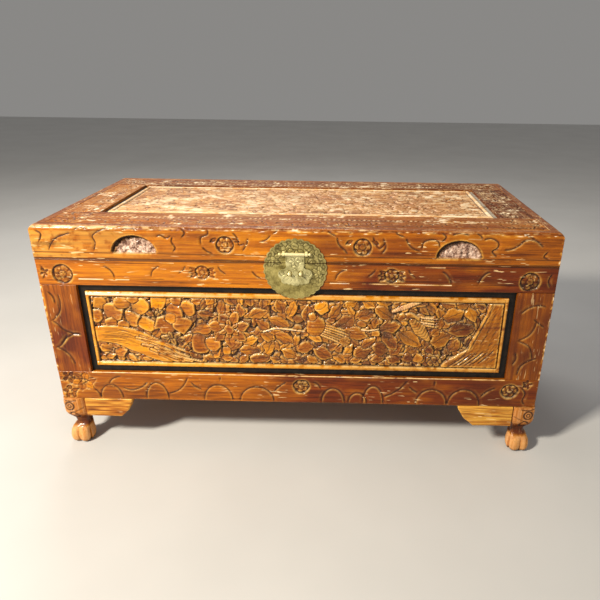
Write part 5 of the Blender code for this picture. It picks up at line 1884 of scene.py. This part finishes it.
def leg_piece(node, x_sign, y_face, y_sign):
    """A knee with a carved eye, a dark ankle and a three-toed paw."""
    depths = np.concatenate([np.arange(0.3, 105.9, 1.3 * QUICK), [105.95]])
    steps = int(112 / QUICK)
    diagonal = math.atan2(y_sign, x_sign)
    bm = bmesh.new()
    rings, tone = [], []
    for depth in depths:
        proud, reach = (np.interp(depth, LEG_SECTIONS[:, 0], LEG_SECTIONS[:, k]) for k in (1, 2))
        half, inward = (reach + proud) / 2, (reach - proud) / 2
        paw = np.clip((depth - 64) / 12, 0, 1)
        power = 4.0 - 1.3 * paw
        centre = (x_sign * (mm(SIDE) - inward), mm(y_face) - y_sign * inward)
        ring = []
        for k in range(steps):
            a = 2 * math.pi * (k + 0.5) / steps
            c, s = math.cos(a), math.sin(a)
            radius = half / (abs(c) ** power + abs(s) ** power) ** (1 / power)
            off = (a - diagonal + math.pi) % (2 * math.pi) - math.pi
            radius -= toe_cut(depth, off)
            px, py = radius * c, radius * s
            cut = 0.0
            if abs(py) > abs(px) and py * y_sign > 0:
                cut = knee_cut(px * x_sign, half, depth)
            elif px * x_sign > 0:
                cut = knee_cut(py * y_sign, half, depth)
            scale = 1 - cut / max(radius, 1)
            ring.append(bm.verts.new(((centre[0] + px * scale) * MM,
                                      (centre[1] + py * scale) * MM,
                                      UNDERSIDE - depth * MM)))
            tone.append((cut, depth))
        rings.append(ring)
    bm.faces.new(rings[0])
    bm.faces.new(list(reversed(rings[-1])))
    for upper, lower in zip(rings, rings[1:]):
        for k in range(steps):
            j = (k + 1) % steps
            bm.faces.new((upper[k], lower[k], lower[j], upper[j]))
    bmesh.ops.recalc_face_normals(bm, faces=bm.faces)
    for face in bm.faces:
        face.smooth = len(face.verts) < 5
    obj = finish_mesh(node + "_carved", bm, LEG_Z, sharp=70)
    cuts, heights = np.array(tone).T
    ankle = np.exp(-((heights - 56) / 11) ** 2)
    paw = np.clip((heights - 66) / 6, 0, 1)
    toes_low = np.clip((heights - 97) / 6, 0, 1)
    knee = 1 - np.clip((heights - 34) / 12, 0, 1)
    # Darker in the knee's cuts, round the ankle and toward the foot of the toes.
    store_mask(obj.data, "grime",
               np.clip(cuts / 2.2, 0, 1) * 0.8 + 0.30 * ankle + 0.5 * toes_low)
    store_mask(obj.data, "worn_and_glint", np.clip(0.35 * paw + 0.10 * knee, 0, 1))
    store_mask(obj.data, "tone", 0.10 + 0.55 * knee + 0.75 * paw)
    return settle(obj, "body", "foot_wood", node)


def toe_cut(depth, off):
    """How far the paw is cut back between its toes and under them, off its diagonal."""
    paw = np.clip((depth - 68) / 14, 0, 1)
    toe = 74.0                                  # degrees to a toe
    degrees = math.degrees(off)
    if paw == 0 or abs(degrees) > 1.5 * toe:
        return 0.0
    place = (degrees / toe + 0.5) % 1.0
    valley = 1 - math.sin(math.pi * place) ** 0.6
    curl = np.clip((depth - 90) / 16, 0, 1)
    return paw * valley * (4.6 + 3.0 * curl) - 0.9 * paw * (1 - valley) * (1 - curl)


def knee_cut(along_face, half, depth):
    """Depth of the carved eye and scroll on one face of the knee, at a place across it."""
    if depth > 58:
        return 0.0
    u, v = along_face - 0.36 * half, depth - 17.5
    rho, angle = math.hypot(u, v), math.atan2(v, u)
    ring = 2.6 * math.exp(-((rho - 8.6) / 1.6) ** 2)
    pupil = 2.2 * math.exp(-((rho - 3.4) / 1.1) ** 2)
    brow = 2.2 * math.exp(-((v + 11.5 + 0.012 * (u + 4) ** 2) / 1.1) ** 2) * (abs(u) < 15)
    curl_rho = math.hypot(u + 3, v - 22)
    curl = 2.6 * math.exp(-((curl_rho - 6.5 - 1.2 * math.sin(angle)) / 1.2) ** 2)
    cheek = 1.2 * math.exp(-((v - 10 - 0.45 * (u + 14)) / 1.3) ** 2) * (u < 2)
    fade = min(max((0.93 * half - abs(along_face)) / 3.0, 0), 1) * min(max((depth - 2) / 3, 0), 1)
    return fade * min(ring + pupil + brow + curl + cheek, 3.2)


for x_name, x_sign in (("left", -1), ("right", 1)):
    leg_piece(f"front_{x_name}_leg", x_sign, FRONT, -1)
    leg_piece(f"rear_{x_name}_leg", x_sign, BACK, 1)


def bracket_piece(node, tip, toe, height, place, finish, seed, seat, shaded=0.3):
    """A bracket's streaky wing: its tip and toe along the wall, its height downward, in mm.

    place(along, down, depth) gives a world point; seat is its thickness; shaded is how much
    it is darkened: painted shade deepening toward its foot, and darker varnish along its streaks.
    """
    start = 41.8
    rows, columns = int(34 / QUICK), int(76 / QUICK)
    bm = bmesh.new()
    grid, marks = [], []
    for t in np.linspace(0, 1, rows):
        down = 0.3 + (height - 0.3) * t
        slant = np.interp(t, (0, 0.16, 0.62, 1.0),
                          (tip, tip - 0.6, 0.55 * tip + 0.45 * toe + 2.0, toe))
        line = []
        for s in np.linspace(0, 1, columns):
            u = start + (slant - start) * s
            streak = value_noise(np.array(u / 26), np.array(down / 2.1), 1.0, seed)
            fine = value_noise(np.array(u / 14), np.array(down / 0.9), 1.0, seed + 1)
            wave = value_noise(np.array(u / 30), np.array(down / 12), 1.0, seed + 2)
            edge = min(down, height - down, (slant - u) * 0.8 + 0.01)
            lip = 2.2 * (1 - math.sqrt(1 - (1 - min(edge / 3.6, 1)) ** 2))
            depth = 0.9 * streak + 0.5 * fine + 0.7 * wave + lip
            line.append(bm.verts.new(place(u * MM, down * MM, depth * MM)))
            marks.append((streak, t, edge))
        grid.append(line)
    for upper, lower in zip(grid, grid[1:]):
        for k in range(columns - 1):
            bm.faces.new((upper[k], lower[k], lower[k + 1], upper[k + 1]))
    base = Vector(place(0, 0, 0)) - Vector(place(0, 0, seat))
    axis = max(range(3), key=lambda k: abs(base[k]))
    wall = [0.0, 0.0, 0.0]
    wall[axis] = place(0, 0, seat)[axis]
    first = len(bm.verts)
    thicken(bm, wall)
    obj = finish_mesh(node + "_shaped", bm, finish, sharp=50)
    streak, fall, edge = np.array(marks).T
    blank = np.zeros(len(obj.data.vertices) - first)
    # Painted shade deepens toward the foot; the streaks are darker and paler along the grain.
    for key, values in (("grime", np.clip((streak - 0.66) * 1.2, 0, 0.22)),
                        ("worn_and_glint", np.clip(0.5 - streak, 0, 0.5) + np.clip(1 - edge / 3, 0, 1) * 0.7),
                        ("tone", 0.95 - 0.5 * streak),
                        ("stain_and_shade", np.clip(shaded * (0.25 + 1.1 * fall + 0.7 * streak), 0, 1))):
        store_mask(obj.data, key, np.concatenate([values, blank + 0.4 * (key == "tone")]))
    return settle(obj, "body", "foot_wood", node)


def bracket_place(corner, sign, face, out, plane):
    """Places a bracket's points: along from a corner, down, and in from its proud face."""
    def place(u, down, depth):
        along_wall, across = corner - sign * u, face - out * depth
        z = UNDERSIDE - down
        return (along_wall, across, z) if plane == "front" else (across, along_wall, z)
    return place


for node, tip, toe, height, seed in (("front_left_bracket", 135, 110, 41, 800),
                                     ("front_right_bracket", 148, 115, 45, 810)):
    low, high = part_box(node)
    sign = -1 if low[0] < 0 else 1
    bracket_piece(node, tip, toe, height, bracket_place(sign * SIDE, sign, low[1], -1, "front"),
                  FOOT_X, seed, high[1] - low[1], 0.42 if sign < 0 else 0.05)
for x_name, x_sign in (("left", -1), ("right", 1)):
    for y_name, y_face, y_sign in (("front", FRONT, -1), ("rear", BACK, 1)):
        node = f"{x_name}_{y_name}_bracket"
        low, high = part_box(node)
        face = high[0] if x_sign > 0 else low[0]
        bracket_piece(node, 130, 104, 42, bracket_place(y_face, y_sign, face, x_sign, "end"),
                      FOOT_Y, 820 + 7 * x_sign + 3 * y_sign, high[0] - low[0])


# ---- what keeps its CAD shape ----------------------------------------------------------------
def dress(finish, *nodes):
    """Give frame nodes a finish."""
    for node in nodes:
        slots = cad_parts[node].data.materials
        if not slots:
            slots.append(finish)
        for k in range(len(slots)):
            slots[k] = finish


dress(BLACK, "front_moulding", "left_moulding", "right_moulding")
dress(BLACK_TOP, "top_moulding")
dress(PLAIN_X, "back_lower_board", "back_upper_board", "bottom_board")
dress(KNOB, "hasp_lug_left", "hasp_lug_right")
dress(HINGE, "left_hinge_body_leaf", "left_hinge_lid_leaf", "left_hinge_pin",
      "right_hinge_body_leaf", "right_hinge_lid_leaf", "right_hinge_pin", "stay_arm",
      "stay_pivot_stud", "stay_guide_stud")


# ---- floor, light and camera -----------------------------------------------------------------
def floor_finish():
    """Plain pale paper, barely uneven."""
    f = Finish("pale_floor")
    cloud = f.noise(3.0, detail=3)
    colour = f.ramp(cloud, [(0.3, (0.55, 0.545, 0.535)), (0.7, (0.59, 0.585, 0.575))])
    f.set(Base_Color=colour, Roughness=0.85)
    return f.material


floor_bm = bmesh.new()
bmesh.ops.create_grid(floor_bm, x_segments=8, y_segments=8, size=7.0)
floor = finish_mesh("floor", floor_bm, floor_finish())


def area_light(name, place, target, size, power, colour=(1, 1, 1)):
    """A soft square light aimed at a point."""
    lamp = bpy.data.lights.new(name, "AREA")
    lamp.shape = "RECTANGLE"
    lamp.size, lamp.size_y = size
    lamp.energy = power
    lamp.color = colour
    obj = bpy.data.objects.new(name, lamp)
    obj.location = place
    obj.rotation_euler = (Vector(target) - Vector(place)).to_track_quat("-Z", "Y").to_euler()
    bpy.context.scene.collection.objects.link(obj)


area_light("key_light", (-1.35, -1.50, 1.72), (-0.1, FRONT, 0.28), (0.30, 0.30), 94,
           (1, 0.92, 0.78))
area_light("fill_light", (1.8, -1.6, 1.2), (0, 0, 0.3), (1.6, 1.6), 5, (0.92, 0.96, 1))
area_light("top_light", (-0.55, 1.5, 2.0), (-0.1, 0.05, TOP), (1.3, 0.7), 23, (1, 0.97, 0.93))

world = bpy.data.worlds.new("studio")
world.use_nodes = True
world.node_tree.nodes["Background"].inputs["Color"].default_value = (0.84, 0.82, 0.79, 1)
world.node_tree.nodes["Background"].inputs["Strength"].default_value = 0.30
bpy.context.scene.world = world
bpy.context.scene.view_settings.view_transform = "Standard"

lens = bpy.data.cameras.new("camera")
lens.sensor_width = 36.0
lens.lens = 33.10
lens.shift_x = -0.06
lens.clip_start, lens.clip_end = 0.02, 60.0
camera = bpy.data.objects.new("camera", lens)
camera.location = (0.0855, FRONT - 0.9112, UNDERSIDE + 0.6048)
camera.rotation_euler = [math.radians(a) for a in (67.038, -0.663, 1.121)]
bpy.context.scene.collection.objects.link(camera)
bpy.context.scene.camera = camera
